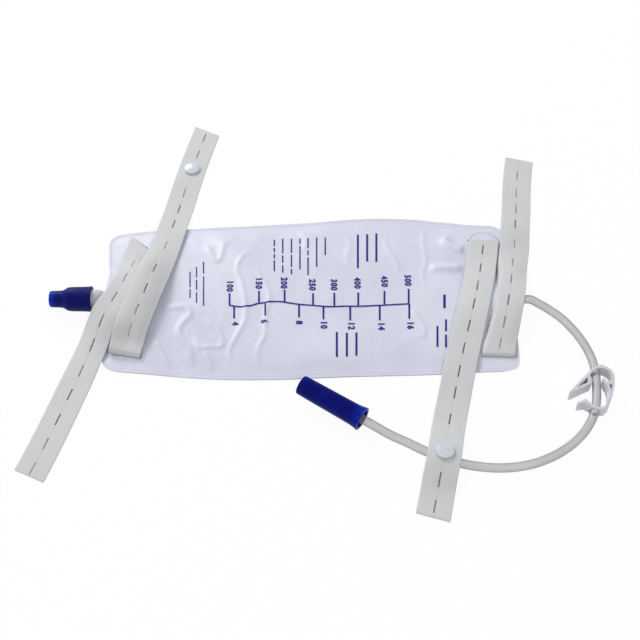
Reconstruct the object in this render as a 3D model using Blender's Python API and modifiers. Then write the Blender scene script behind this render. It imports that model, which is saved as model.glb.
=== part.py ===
"""Urine drainage leg bag, empty and lying flat on its back.

Two sheets of soft vinyl film are welded round their edge. A twist valve drains the bag at -X, and an
inlet tube with a pinch clamp ends at +X in a stepped connector under a push-on cap. Two knitted elastic
straps, each one piece with a button, go through the slots at the four corners of the bag.
Everything is in metres, +Z up. Plan points are written in millimetres, seen from above, and the whole
part is moved at the end so that the middle of its footprint is at the origin.
"""
import bmesh
import bpy
from math import asin, atan2, ceil, cos, exp, hypot, pi, radians, sin, sqrt
from mathutils import Matrix, Vector
from mathutils.bvhtree import BVHTree

MM = 0.001
GAP = 0.3 * MM  # between pieces that touch
SOFT_GAP = 0.5 * MM  # between a film or a strap and the hard piece that it is laid over
SIDES = 20  # facets round a turned piece
CLOCK = 5.0  # turns a round cutter so that its facets miss those of the piece

# Bag film
FILM = 0.4 * MM
FRONT_STEPS = (40, 20)  # columns and rows
BACK_STEPS = (26, 20)
FLANGE = 6.0 * MM
CORNER_RADIUS = 7.0 * MM
BAG_LOFT = 3.6 * MM  # clear height between the films in the middle
LOFT_RUN = 18.0 * MM  # how far the films take to part
TOP_EDGE = [(-175, 88), (-156, 91.2), (-137, 93.6), (-100, 97.6), (-55, 100.6), (-10, 103.8), (25, 108), (50, 109.3),
            (80, 108), (105, 104), (122, 100.4), (141, 99.6), (156, 98)]
BOTTOM_EDGE = [(-175, -47.5), (-152, -52.2), (-109, -56), (-74, -58.8), (-30, -58.6), (20, -55.8), (68, -54.6),
               (119, -52.5), (156, -51)]
LEFT_EDGE = [(-166.2, -60), (-166.2, -34), (-167.5, 14), (-171, 50), (-174.3, 75), (-174.3, 100)]
RIGHT_EDGE = [(151.4, -60), (152.4, -36), (154, 16), (154, 60), (153.5, 80), (152.5, 110)]
CREASES = [  # (start, end, height mm, half width mm) of the soft folds that show in the front film
    ((-104, 22), (-58, -34), 1.6, 6), ((-86, -46), (-108, 2), 1.3, 6), ((-84, 92), (-66, 52), 1.5, 8),
    ((-52, 94), (-60, 58), 1.2, 6), ((-64, 60), (-52, -40), 1.2, 7), ((96, 88), (104, 40), 1.6, 7),
    ((84, 74), (116, 62), 1.2, 6), ((112, 38), (78, 22), 1.2, 6), ((20, 92), (-30, 88), 1.0, 8),
    ((60, -18), (96, -46), 1.0, 9), ((-20, -30), (30, -44), 0.9, 8),
]

# Straps
STRAP_WIDTH = 24.0 * MM
STRAP_THICK = 1.2 * MM
BEHIND_LEFT = (-132.0, -108.0)  # plan x where the film comes down off the strap behind it
BEHIND_RIGHT = (118.0, 98.0)
BOTTOM_BUTTON = 52.4 * MM  # from the strap's free end
TOP_BUTTON = 50.0 * MM
SLIT_LENGTH = 9.6 * MM
SLIT_WIDTH = 1.0 * MM
SLITS_LOWER_LEFT = (6.4, 28, 50, 73, 95, 118, 137, 159, 181, 201)  # middles, mm from the free end
SLITS_UPPER_LEFT = (10, 32, 81, 101, 121, 149, 180, 204, 226, 244)  # none under the button
SLITS_UPPER_RIGHT = (21, 43, 62, 81, 105, 128, 151, 174, 195, 214)
SLITS_LOWER_RIGHT = (9, 29, 83, 107, 126, 147, 168, 189, 208, 229, 251)  # none under the button
FOLD_BULGE = 1.9 * MM  # how far a strap's fold stands past the film at its slot
FOLD_STEPS = 6
FOLD_RUN = 30.0 * MM  # length over which a strap turns square to its slot
SLOT_ROOM = 0.5 * MM  # left in a slot beyond the strap that folds through it
SLOT_ENDS = 0.8 * MM
SLOT_CUT = 20.0 * MM
ROW_STEP = 10.0 * MM
DRAPE_REACH = 9.0 * MM

# Drain: axis along X, datum at the bag's edge, distances outward
DRAIN_AT = (-167.5, 12.8)
VALVE_OD = 19.5 * MM
VALVE_TIP_OD = 13.0 * MM
VALVE_FLARE = 0.5 * MM
VALVE_START = 11.4 * MM
VALVE_BODY = 18.0 * MM
VALVE_TAPER = 6.0 * MM
VALVE_TIP = 9.2 * MM
NOZZLE_BORE = 7.6 * MM
NECK_OD = 15.5 * MM
NECK_BORE = 11.4 * MM
NECK_LENGTH = 26.0 * MM
NECK_CONE = 5.0 * MM
PORT_BORE = 6.0 * MM
PORT_INSIDE = 16.0 * MM
RUN_FIT = 0.4 * MM
STEM_LENGTH = 9.0 * MM
PLUG_OD = 5.0 * MM
PLUG_LENGTH = 8.0 * MM
RING_SECTION = 1.3 * MM
FLOW_HOLE = 2.2 * MM

# Inlet: axis along X at the other edge
INLET_AT = (154.0, 16.0)
TUBE_OD = 6.8 * MM
INLET_OD = 10.4 * MM
INLET_OUT = 7.0 * MM
INLET_BORE = 3.6 * MM
INLET_INSIDE = 16.0 * MM
INLET_AXIS = 6.1 * MM
BOAT_THICK = 9.0 * MM
INLET_BOAT_THICK = 7.0 * MM
BOAT_WIDTH = 30.0 * MM
REFLUX_LENGTH = 46.0 * MM
REFLUX_WIDTH = 20.0 * MM
REFLUX_WALL = 0.3 * MM
REFLUX_OPEN = 0.5 * MM

# Connector and its cap: the cap's closed end points to the bag and is tipped up a little
CAP_MOUTH_AT = (30.8, -100.0)
CAP_HEADING = 147.3
CAP_TIP = 3.0
CAP_LENGTH = 53.5 * MM
CAP_OD = 16.1 * MM
CAP_END_OD = 15.3 * MM
CAP_RIM_OD = 18.6 * MM
CAP_RIM = 5.0 * MM
CAP_WALL = 2.2 * MM
CONNECTOR_IN = 6.0 * MM
CONNECTOR_LENGTH = 40.0 * MM
CONNECTOR_BORE = 3.6 * MM
CONNECTOR_BIG = 10.6 * MM
CONNECTOR_SMALL = 6.4 * MM
CONNECTOR_STEPS = 5
STEP_LIP = 0.5 * MM

# Pinch clamp, a moulded strip that stands on its edge, with the tube through it
CLAMP_HEIGHT = 9.4 * MM
CLAMP_OUTLINE = [
    (183.9, -75.9), (200.9, -57.1), (203.2, -55.0), (205.8, -52.5), (208.4, -51.0), (211.4, -50.6),
    (213.8, -51.5), (216.7, -53.6), (218.9, -56.7), (219.6, -60.0), (219.5, -63.5), (218.8, -67.0),
    (217.4, -73.1), (215.4, -78.7), (213.3, -83.7), (211.5, -87.6), (208.6, -90.4), (206.2, -91.2),
    (203.6, -91.3), (201.0, -90.6), (198.5, -89.0), (196.3, -86.7), (194.0, -85.3), (189.1, -86.3),
    (188.6, -84.9), (195.4, -81.8), (197.0, -84.2), (199.0, -86.5), (201.2, -88.2), (203.8, -89.1),
    (205.8, -89.0), (207.7, -88.3), (209.4, -86.2), (211.2, -82.3), (212.3, -78.6), (212.9, -74.7),
    (212.6, -70.4), (211.5, -67.8), (210.6, -64.6), (210.7, -62.8), (211.6, -62.6), (213.8, -66.3),
    (217.3, -65.2), (217.8, -61.7), (217.2, -58.4), (215.6, -55.9), (213.3, -54.3), (210.4, -53.7),
    (207.4, -54.2), (204.8, -55.9), (202.6, -58.6), (201.5, -60.6), (202.5, -63.4), (202.6, -65.6),
    (201.4, -68.0), (198.8, -69.6), (184.8, -76.9),
]
CLAMP_WINDOWS = [
    [(199.3, -62.0), (199.4, -66.7), (190.8, -71.2)],
    [(214.6, -68.9), (216.8, -68.2), (215.2, -74.4)],
]
CLAMP_HOLES = [((207.0, -52.9), (206.8, -55.5)), ((201.9, -87.6), (200.5, -90.8))]
CLAMP_HOLE_REACH = 2.6 * MM
CLAMP_HOLE_FIT = 0.6 * MM

# Buttons
BUTTON_OD = 13.8 * MM
BUTTON_DISC = 1.4 * MM
BUTTON_DOME = 0.6 * MM
BUTTON_POST = 3.2 * MM
BUTTON_BACK_OD = 10.0 * MM
BUTTON_BACK = 1.0 * MM

# Route of the inlet tube, in millimetres: plan x, plan y, height of its middle
TUBE_BEND = [
    (172.5, 12.4, 5.3), (181.0, 6.0, 4.6), (189.6, -2.4, 3.9), (195.4, -10.9, 3.6), (200.2, -20.1, 3.7),
    (204.2, -31.5, 4.1), (206.6, -43.3, 4.6), (207.1, -53.3, 4.7), (206.7, -61.3, 4.7), (205.8, -69.8, 4.7),
    (204.3, -79.3, 4.7), (201.4, -89.9, 4.7), (196.6, -99.9, 4.3), (188.9, -110.3, 3.8), (175.8, -121.9, 3.6),
    (159.9, -130.9, 3.6), (145.7, -135.5, 3.6), (128.5, -137.5, 3.6), (111.7, -136.2, 3.6), (99.6, -133.6, 3.6),
    (89.6, -130.2, 3.6), (76.3, -124.1, 3.7), (62.4, -116.9, 4.8),
]


def material(name, colour, roughness, metallic=0.0):
    made = bpy.data.materials.new(name)
    made.use_nodes = True
    made.diffuse_color = (*colour, 1.0)
    surface = made.node_tree.nodes["Principled BSDF"]
    surface.inputs["Base Color"].default_value = (*colour, 1.0)
    surface.inputs["Roughness"].default_value = roughness
    surface.inputs["Metallic"].default_value = metallic
    return made


def make_collection(name):
    made = bpy.data.collections.new(name)
    bpy.context.scene.collection.children.link(made)
    return made


def put(name, mesh, collection, finish=None):
    """A new object with this mesh, in this collection, of this material."""
    obj = bpy.data.objects.new(name, mesh)
    collection.objects.link(obj)
    if finish:
        mesh.materials.append(finish)
    return obj


def put_bmesh(name, bm, collection, finish=None):
    mesh = bpy.data.meshes.new(name)
    bm.to_mesh(mesh)
    bm.free()
    return put(name, mesh, collection, finish)


def as_cutter(obj):
    obj.hide_render = True
    obj.display_type = "WIRE"
    return obj


def combine(obj, other, operation):
    step = obj.modifiers.new(operation.title() + "_" + other.name, "BOOLEAN")
    step.operation = operation
    step.object = other


def solidify(obj, thickness):
    wall = obj.modifiers.new("Wall", "SOLIDIFY")
    wall.thickness = thickness
    wall.offset = 0.0


def turned(name, profile, collection, finish=None, closed=False, sides=SIDES):
    """A solid turned about local Z from (radius, height) points that run down its outer side.

    A closed profile stays clear of the axis, and its last point joins the first."""
    bm = bmesh.new()
    points = [bm.verts.new((radius, 0.0, height)) for radius, height in profile]
    for first, second in zip(points, points[1:]):
        bm.edges.new((first, second))
    if closed:
        bm.edges.new((points[-1], points[0]))
    obj = put_bmesh(name, bm, collection, finish)
    turn = obj.modifiers.new("Turn", "SCREW")
    turn.steps = turn.render_steps = sides
    turn.use_merge_vertices = True
    turn.merge_threshold = 0.00001
    return obj


def frame_along(point, direction):
    """Where local Z points along a direction from a point."""
    return Matrix.Translation(point) @ direction.to_track_quat("Z", "Y").to_matrix().to_4x4()


def smooth_path(points, spacing):
    """Points at even spacing along a Catmull-Rom curve through these."""
    knots = [Vector(point) for point in points]
    knots = [2 * knots[0] - knots[1]] + knots + [2 * knots[-1] - knots[-2]]
    dense = []
    for before, start, end, after in zip(knots, knots[1:], knots[2:], knots[3:]):
        for step in range(16):
            t = step / 16
            dense.append(0.5 * (2 * start + (end - before) * t
                                + (2 * before - 5 * start + 4 * end - after) * t * t
                                + (3 * start - before - 3 * end + after) * t * t * t))
    dense.append(knots[-2])
    lengths = [0.0]
    for first, second in zip(dense, dense[1:]):
        lengths.append(lengths[-1] + (second - first).length)
    count = max(2, round(lengths[-1] / spacing))
    return [point_at(dense, lengths, lengths[-1] * step / count) for step in range(count + 1)]


def point_at(points, lengths, distance):
    """The point at this distance along a path whose running lengths are given."""
    for index in range(1, len(points)):
        if distance <= lengths[index] or index == len(points) - 1:
            span = max(lengths[index] - lengths[index - 1], 1e-12)
            return points[index - 1].lerp(points[index], min(1.0, (distance - lengths[index - 1]) / span))


def along(points, position):
    """The other coordinate of an edge curve, where the first one is this."""
    if position <= points[0][0]:
        return points[0][1]
    for (x0, y0), (x1, y1) in zip(points, points[1:]):
        if position <= x1:
            t = (position - x0) / (x1 - x0)
            return y0 + (y1 - y0) * t
    return points[-1][1]


def rise(value, start, end):
    """Goes smoothly from 0 at start to 1 at end."""
    t = min(1.0, max(0.0, (value - start) / (end - start)))
    return t * t * (3 - 2 * t)


# Form of the bag

def left_of(y):
    return along([(b * MM, a * MM) for a, b in LEFT_EDGE], y)


def right_of(y):
    return along([(b * MM, a * MM) for a, b in RIGHT_EDGE], y)


def bottom_of(x):
    return along([(a * MM, b * MM) for a, b in BOTTOM_EDGE], x)


def top_of(x):
    return along([(a * MM, b * MM) for a, b in TOP_EDGE], x)


DRAIN = Vector((DRAIN_AT[0] * MM, DRAIN_AT[1] * MM, VALVE_OD / 2 + VALVE_FLARE))
INLET = Vector((INLET_AT[0] * MM, INLET_AT[1] * MM, INLET_AXIS))
STRAP_UNDER = STRAP_THICK + GAP  # the films lie on the straps that pass behind them


def boat(x, y, end, depth, thick):
    """Half thickness of the lens that a welded port makes between the films."""
    inward = (x - end.x) * (1 if end.x < 0 else -1)
    q = ((y - end.y) / (0.5 * BOAT_WIDTH + 7 * MM)) ** 2
    fade = 1 - rise(inward, depth + 2 * MM, depth + 24 * MM)
    return 0.5 * thick * max(0.0, 1 - q) * fade


def clear_height(x, y):
    """Clear height between the two films."""
    edge = min(x - left_of(y), right_of(y) - x, y - bottom_of(x), top_of(x) - y)
    loft = 1 - exp(-max(0.0, edge - FLANGE) / LOFT_RUN)
    outlet = boat(x, y, DRAIN, PORT_INSIDE, BOAT_THICK)
    inlet = boat(x, y, INLET, INLET_INSIDE, INLET_BOAT_THICK)
    lens = 2 * max(outlet, inlet)
    room = 2 * SOFT_GAP if lens > 0.1 * MM else 0.0
    return max(GAP + (BAG_LOFT - GAP) * loft, lens + room)


def under_side(x, y):
    """Height of the underside of the back film."""
    on_left_strap = 1 - rise(x, BEHIND_LEFT[0] * MM, BEHIND_LEFT[1] * MM)
    on_right_strap = rise(x, BEHIND_RIGHT[1] * MM, BEHIND_RIGHT[0] * MM)
    low = GAP + (STRAP_UNDER - GAP) * max(on_left_strap, on_right_strap)
    height = low
    for end, inside in ((DRAIN, PORT_INSIDE), (INLET, INLET_INSIDE)):
        inward = (x - end.x) * (1 if end.x < 0 else -1)
        near = exp(-((y - end.y) / (25 * MM)) ** 4) * (1 - rise(inward, inside, inside + 34 * MM))
        level = max(low, end.z - 0.5 * clear_height(x, y) - FILM)
        height += (level - low) * near
    return height


def creases(x, y):
    """Extra height of the soft folds in the front film."""
    height = 0.0
    for (ax, ay), (bx, by), high, wide in CREASES:
        start = Vector((ax, ay)) * MM
        run = Vector((bx, by)) * MM - start
        t = (Vector((x, y)) - start).dot(run) / run.length_squared
        off = (Vector((x, y)) - start - run * t).length
        ends = rise(t, -0.15, 0.25) * (1 - rise(t, 0.75, 1.15))
        height += high * MM * ends * exp(-(off / (wide * MM)) ** 2)
    edge = min(x - left_of(y), right_of(y) - x, y - bottom_of(x), top_of(x) - y)
    return height * rise(edge, 2 * MM, 14 * MM)


def back_film_at(x, y):
    return under_side(x, y) + 0.5 * FILM


def front_film_at(x, y):
    return under_side(x, y) + 1.5 * FILM + clear_height(x, y) + creases(x, y)


def bag_plan(u, v):
    """The plan point of a grid point, with closer rows at the edges and rounded corners."""
    u = 0.5 * u + 0.25 * (1 - cos(pi * u))
    v = 0.5 * v + 0.25 * (1 - cos(pi * v))
    x = (left_of(0) + (right_of(0) - left_of(0)) * u)
    y = bottom_of(x) + (top_of(x) - bottom_of(x)) * v
    inset = 0.0
    for _ in range(3):
        near = min(y - bottom_of(x), top_of(x) - y, CORNER_RADIUS)
        inset = CORNER_RADIUS - sqrt(max(0.0, CORNER_RADIUS ** 2 - (CORNER_RADIUS - near) ** 2))
        x = left_of(y) + inset + (right_of(y) - left_of(y) - 2 * inset) * u
        y = bottom_of(x) + (top_of(x) - bottom_of(x)) * v
    return x, y


def film(name, steps, height_at, collection, finish):
    bm = bmesh.new()
    bmesh.ops.create_grid(bm, x_segments=steps[0], y_segments=steps[1], size=0.5)
    for vert in bm.verts:
        x, y = bag_plan(vert.co.x + 0.5, vert.co.y + 0.5)
        vert.co = (x, y, height_at(x, y))
    obj = put_bmesh(name, bm, collection, finish)
    solidify(obj, FILM)
    return obj


# Straps

def row_of(centre, angle, half):
    """Left and right ends of a row across a strap, in plan."""
    side = Vector((cos(angle), sin(angle))) * half
    return centre - side, centre + side


class Run:
    """One visible length of a strap, from its free end to its fold at a slot.

    The rows near each end turn from square across the strap to the angle of the cut or of the fold."""

    def __init__(self, points, end_angle, fold_angle, slits, button=None):
        self.points = smooth_path([Vector(point) * MM for point in points], 2 * MM)
        self.lengths = [0.0]
        for first, second in zip(self.points, self.points[1:]):
            self.lengths.append(self.lengths[-1] + (second - first).length)
        self.length = self.lengths[-1]
        self.end_skew = radians(end_angle) - self.square(0.0)
        self.fold_skew = radians(fold_angle) - self.square(self.length)
        self.slits = [middle * MM for middle in slits]
        self.button = button

    def centre(self, distance):
        return point_at(self.points, self.lengths, distance)

    def square(self, distance):
        """The angle in plan of a line square across the strap, left to right."""
        ahead = self.centre(min(self.length, distance + 3 * MM)) - self.centre(max(0.0, distance - 3 * MM))
        angle = atan2(ahead.y, ahead.x) - pi / 2
        while angle > pi / 2:
            angle -= pi
        while angle < -pi / 2:
            angle += pi
        return angle

    def marks(self):
        """Distances of the rows: both ends of each slit, and enough between them."""
        marks = [0.0, self.length]
        for middle in self.slits:
            marks += [middle - SLIT_LENGTH / 2, middle + SLIT_LENGTH / 2]
        if self.button is not None:
            marks += [self.button - BUTTON_BACK_OD / 2 - MM, self.button, self.button + BUTTON_BACK_OD / 2 + MM]
        marks = sorted(marks)
        filled = []
        for start, end in zip(marks, marks[1:]):
            steps = max(1, ceil((end - start) / ROW_STEP))
            filled += [start + (end - start) * step / steps for step in range(steps)]
        return filled + [marks[-1]]

    def row(self, distance):
        near_end = 1 - rise(distance, 0.0, FOLD_RUN)
        near_fold = rise(distance, self.length - FOLD_RUN, self.length)
        skew = self.end_skew * near_end + self.fold_skew * near_fold
        return row_of(self.centre(distance), self.square(distance) + skew, STRAP_WIDTH / 2 / cos(skew))


SLIT_SHARE = SLIT_WIDTH / STRAP_WIDTH
ACROSS = [0.0, 0.25, 0.5 - SLIT_SHARE / 2, 0.5 + SLIT_SHARE / 2, 0.75, 1.0]


def height_below(trees, x, y):
    """Top of whatever lies under this plan point."""
    top = 0.0
    for tree in trees:
        hit = tree.ray_cast(Vector((x, y, 0.1)), Vector((0, 0, -1)))[0]
        if hit is not None:
            top = max(top, hit.z)
    return top


def drape(run, trees):
    """Heights of the middle of a strap that is laid over what is below it, for each mark and column."""
    marks = run.marks()
    fine = [index / 10 for index in range(11)]
    steps = max(2, ceil(run.length / (2 * MM)))
    found = []
    for step in range(steps + 1):
        place = run.length * step / steps
        left, right = run.row(place)
        spots = [left.lerp(right, share) for share in fine]
        found.append((place, [height_below(trees, spot.x, spot.y) for spot in spots]))
    heights = []
    for mark in marks:
        heights.append([smoothed(found, fine, mark, share) for share in ACROSS])
    return heights


def smoothed(found, fine, mark, share):
    """The highest support near each place, averaged over the same reach, so never below any support."""
    total = 0.0
    weight = 0.0
    for offset in (-1.0, -0.5, 0.0, 0.5, 1.0):
        for aside in (-0.3, 0.0, 0.3):
            place = mark + offset * DRAPE_REACH
            spot = share + aside
            top = max((max(h for s, h in zip(fine, row) if abs(s - spot) <= 0.46)
                       for where, row in found if abs(where - place) <= DRAPE_REACH + ROW_STEP / 2), default=0.0)
            total += top
            weight += 1.0
    return total / weight + GAP + STRAP_THICK / 2


def strap_tree(run, heights):
    """What the top of a laid run offers to the next strap."""
    corners = []
    faces = []
    for mark, row in zip(run.marks(), heights):
        left, right = run.row(mark)
        for share, height in zip(ACROSS, row):
            spot = left.lerp(right, share)
            corners.append(Vector((spot.x, spot.y, height + STRAP_THICK / 2)))
    wide = len(ACROSS)
    for row in range(len(heights) - 1):
        for column in range(wide - 1):
            first = row * wide + column
            faces.append((first, first + 1, first + wide + 1, first + wide))
    return BVHTree.FromPolygons(corners, faces)


def fold_rows(run, heights, low):
    """The rows round a slot's edge, from the laid run above the films to the length behind them."""
    left, right = run.row(run.length)
    outward = (run.centre(run.length) - run.centre(run.length - 5 * MM)).normalized()
    line = (right - left).normalized()
    out = outward - line * outward.dot(line)
    out.normalize()
    rows = []
    for step in range(1, FOLD_STEPS):
        turn = pi * step / FOLD_STEPS
        row = []
        for share, top in zip(ACROSS, heights[-1]):
            spot = left.lerp(right, share) + out * FOLD_BULGE * sin(turn)
            row.append(Vector((spot.x, spot.y, (top + low) / 2 + (top - low) / 2 * cos(turn))))
        rows.append(row)
    return rows


def laid_rows(run, heights):
    rows = []
    for mark, row in zip(run.marks(), heights):
        left, right = run.row(mark)
        spots = [left.lerp(right, share) for share in ACROSS]
        rows.append([Vector((spot.x, spot.y, height)) for spot, height in zip(spots, row)])
    return rows


def strap(name, first, first_heights, second, second_heights, collection, finish):
    """One strap: the first run to its fold, the length behind the bag, then the second run."""
    low = STRAP_THICK / 2
    rows = laid_rows(first, first_heights) + fold_rows(first, first_heights, low)
    slits = slit_rows(first)
    start = first.row(first.length)
    end = second.row(second.length)
    length = (second.centre(second.length) - first.centre(first.length)).length
    steps = ceil(length / ROW_STEP)
    for step in range(steps + 1):
        t = step / steps
        left = start[0].lerp(end[0], t)
        right = start[1].lerp(end[1], t)
        spots = [left.lerp(right, share) for share in ACROSS]
        rows.append([Vector((spot.x, spot.y, low)) for spot in spots])
    back_fold = fold_rows(second, second_heights, low)
    rows += back_fold[::-1]
    back = laid_rows(second, second_heights)
    slits |= {len(rows) + len(back) - 2 - row for row in slit_rows(second)}
    rows += back[::-1]
    bm = bmesh.new()
    wide = len(ACROSS)
    grid = bmesh.ops.create_grid(bm, x_segments=wide - 1, y_segments=len(rows) - 1, size=0.5)["verts"]
    for vert in grid:
        column = round((vert.co.x + 0.5) * (wide - 1))
        row = round((vert.co.y + 0.5) * (len(rows) - 1))
        vert.co = Vector((column, row, -1.0))
    middle = (wide - 1) / 2
    gone = []
    for face in bm.faces:
        centre = face.calc_center_median()
        if abs(centre.x - middle) < 0.4 and int(centre.y) in slits:
            gone.append(face)
    bmesh.ops.delete(bm, geom=gone, context="FACES_ONLY")
    for vert in bm.verts:
        vert.co = rows[round(vert.co.y)][round(vert.co.x)]
    obj = put_bmesh(name, bm, collection, finish)
    solidify(obj, STRAP_THICK)
    return obj


def slit_rows(run):
    """Numbers of the rows of faces that hold a slit."""
    marks = run.marks()
    found = set()
    for middle in run.slits:
        if run.button is not None and abs(middle - run.button) < SLIT_LENGTH:
            continue
        for index in range(len(marks) - 1):
            if abs((marks[index] + marks[index + 1]) / 2 - middle) < 0.1 * MM:
                found.add(index)
    return found


def slot_cutter(name, run, collection):
    """Cuts a strap's slot through both films, just past the fold."""
    left, right = run.row(run.length)
    line = (right - left).normalized()
    outward = (run.centre(run.length) - run.centre(run.length - 5 * MM)).normalized()
    out = (outward - line * outward.dot(line)).normalized()
    length = (right - left).length + 2 * SLOT_ENDS
    width = GAP + FOLD_BULGE + STRAP_THICK / 2 + SLOT_ROOM
    middle = (left + right) / 2 + out * (width / 2 - GAP)
    bm = bmesh.new()
    bmesh.ops.create_cube(bm, size=1.0)
    bmesh.ops.scale(bm, vec=(length, width, SLOT_CUT), verts=bm.verts)
    obj = as_cutter(put_bmesh(name, bm, collection))
    obj.matrix_world = Matrix.Translation((middle.x, middle.y, SLOT_CUT / 4)) @ Matrix.Rotation(
        atan2(line.y, line.x), 4, "Z")
    return obj


# Drain

def valve_marks():
    """Distances along the drain of the valve's steps."""
    taper = VALVE_START + VALVE_BODY
    tip = taper + VALVE_TAPER
    return taper, tip, tip + VALVE_TIP


def drain_frame():
    return frame_along(DRAIN, Vector((-1, 0, 0)))


def outlet_port(parts, cutters, finish):
    neck = NECK_OD / 2
    waist = PORT_BORE / 2 + 0.7 * MM
    port = turned("outlet_port", [
        (0.0, NECK_LENGTH), (neck - 0.3 * MM, NECK_LENGTH), (neck, NECK_LENGTH - 0.5 * MM),
        (neck, NECK_CONE), (waist, -0.8 * MM), (waist, -PORT_INSIDE - 2 * MM), (0.0, -PORT_INSIDE - 2 * MM),
    ], parts, finish)
    port.matrix_world = drain_frame()
    lens = boat_solid("outlet_boat", DRAIN, PORT_INSIDE, BOAT_THICK, cutters)
    combine(port, lens, "UNION")
    seat = NECK_LENGTH - STEM_LENGTH - GAP
    bore = as_cutter(turned("outlet_bore", [
        (0.0, NECK_LENGTH + 2 * MM), (NECK_BORE / 2, NECK_LENGTH + 2 * MM), (NECK_BORE / 2, seat),
        (PORT_BORE / 2, seat - 2 * MM), (PORT_BORE / 2, -PORT_INSIDE - 4 * MM), (0.0, -PORT_INSIDE - 4 * MM),
    ], cutters))
    bore.matrix_world = drain_frame() @ Matrix.Rotation(radians(CLOCK), 4, "Z")
    combine(port, bore, "DIFFERENCE")
    return port


def boat_solid(name, end, depth, thick, cutters):
    """The lens-shaped base of a port, welded between the films."""
    inward = 1 if end.x < 0 else -1
    bm = bmesh.new()
    bmesh.ops.create_uvsphere(bm, u_segments=22, v_segments=11, radius=1.0)
    for axis in "XYZ":
        bmesh.ops.rotate(bm, matrix=Matrix.Rotation(radians(CLOCK), 3, axis), verts=bm.verts)
    bmesh.ops.scale(bm, vec=(depth / 2, BOAT_WIDTH / 2, thick / 2), verts=bm.verts)
    bmesh.ops.translate(bm, vec=end + Vector((inward * depth / 2, 0, 0)), verts=bm.verts)
    return as_cutter(put_bmesh(name, bm, cutters))


def valve_stem(parts, cutters, finish):
    """The fixed core: a holed disc glued in the neck, and the plug that the nozzle closes on."""
    body = NECK_BORE / 2 - GAP
    plug = PLUG_OD / 2
    groove = plug - RING_SECTION / 2
    seat = NECK_LENGTH - STEM_LENGTH
    tip = NECK_LENGTH + PLUG_LENGTH
    ring = tip - 2.4 * MM
    stem = turned("valve_stem", [
        (0.0, tip), (plug - 0.4 * MM, tip), (plug, tip - 0.4 * MM),
        (plug, ring + RING_SECTION / 2 + GAP), (groove, ring + RING_SECTION / 2 + GAP),
        (groove, ring - RING_SECTION / 2 - GAP), (plug, ring - RING_SECTION / 2 - GAP),
        (plug, NECK_LENGTH), (body, NECK_LENGTH), (body, seat + 1 * MM), (body - 0.6 * MM, seat), (0.0, seat),
    ], parts, finish)
    stem.matrix_world = drain_frame()
    spread = (plug + body) / 2
    for number in range(4):
        turn = pi / 2 * number + radians(CLOCK)
        hole = as_cutter(turned("flow_hole_%d" % number, [
            (0.0, NECK_LENGTH + MM), (FLOW_HOLE / 2, NECK_LENGTH + MM), (FLOW_HOLE / 2, seat - MM),
            (0.0, seat - MM)], cutters, sides=12))
        hole.matrix_world = drain_frame() @ Matrix.Translation((spread * cos(turn), spread * sin(turn), 0.0))
        combine(stem, hole, "DIFFERENCE")
    return stem


def valve_o_ring(parts, finish):
    """The seal on the plug, which the nozzle's bore closes on."""
    plug = PLUG_OD / 2
    radius = RING_SECTION / 2
    middle = plug - radius + GAP + radius
    ring = NECK_LENGTH + PLUG_LENGTH - 2.4 * MM
    section = [(middle + radius * sin(turn), ring + radius * cos(turn))
               for turn in (2 * pi * step / 8 for step in range(8))]
    seal = turned("valve_o_ring", section, parts, finish, closed=True, sides=16)
    seal.matrix_world = drain_frame()
    return seal


def twist_valve(parts, finish):
    """The navy sleeve that turns on the neck, with the outlet nozzle in its tip."""
    taper, tip, end = valve_marks()
    body = VALVE_OD / 2
    nose = VALVE_TIP_OD / 2
    step = body - nose
    sleeve = NECK_OD / 2 + RUN_FIT
    inside = NECK_LENGTH + RUN_FIT + 0.2 * MM
    valve = turned("twist_valve", [
        (nose - 0.8 * MM, end), (nose, end - 0.8 * MM), (nose + 0.2 * MM, tip),
        (nose + 0.25 * step, tip - 0.35 * VALVE_TAPER), (body - 0.25 * step, tip - 0.7 * VALVE_TAPER),
        (body, taper), (body, VALVE_START + 4 * MM), (body + VALVE_FLARE, VALVE_START + 1 * MM),
        (body + VALVE_FLARE, VALVE_START + 0.4 * MM), (body + VALVE_FLARE - 0.4 * MM, VALVE_START),
        (sleeve + 0.4 * MM, VALVE_START), (sleeve, VALVE_START + 0.4 * MM), (sleeve, inside),
        (NOZZLE_BORE / 2 + 0.6 * MM, inside + 1.6 * MM), (NOZZLE_BORE / 2, inside + 2.4 * MM),
        (NOZZLE_BORE / 2, end - 0.4 * MM), (NOZZLE_BORE / 2 + 0.4 * MM, end),
    ], parts, finish, closed=True, sides=30)
    valve.matrix_world = drain_frame()
    return valve


# Inlet

def inlet_frame():
    return frame_along(INLET, Vector((1, 0, 0)))


def inlet_port(parts, cutters, finish):
    socket = INLET_OD / 2
    spigot = INLET_BOAT_THICK / 2 - 1.0 * MM
    port = turned("inlet_port", [
        (0.0, INLET_OUT), (socket - 0.5 * MM, INLET_OUT), (socket, INLET_OUT - 0.5 * MM), (socket, 2.5 * MM),
        (spigot, -1.2 * MM), (spigot, -INLET_INSIDE - 7 * MM), (0.0, -INLET_INSIDE - 7 * MM),
    ], parts, finish)
    port.matrix_world = inlet_frame()
    combine(port, boat_solid("inlet_boat", INLET, INLET_INSIDE, INLET_BOAT_THICK, cutters), "UNION")
    bore = as_cutter(turned("inlet_bore", [
        (0.0, INLET_OUT + 2 * MM), (INLET_BORE / 2, INLET_OUT + 2 * MM),
        (INLET_BORE / 2, -INLET_INSIDE - 9 * MM), (0.0, -INLET_INSIDE - 9 * MM)], cutters, sides=16))
    bore.matrix_world = inlet_frame() @ Matrix.Rotation(radians(CLOCK), 4, "Z")
    combine(port, bore, "DIFFERENCE")
    return port


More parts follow.
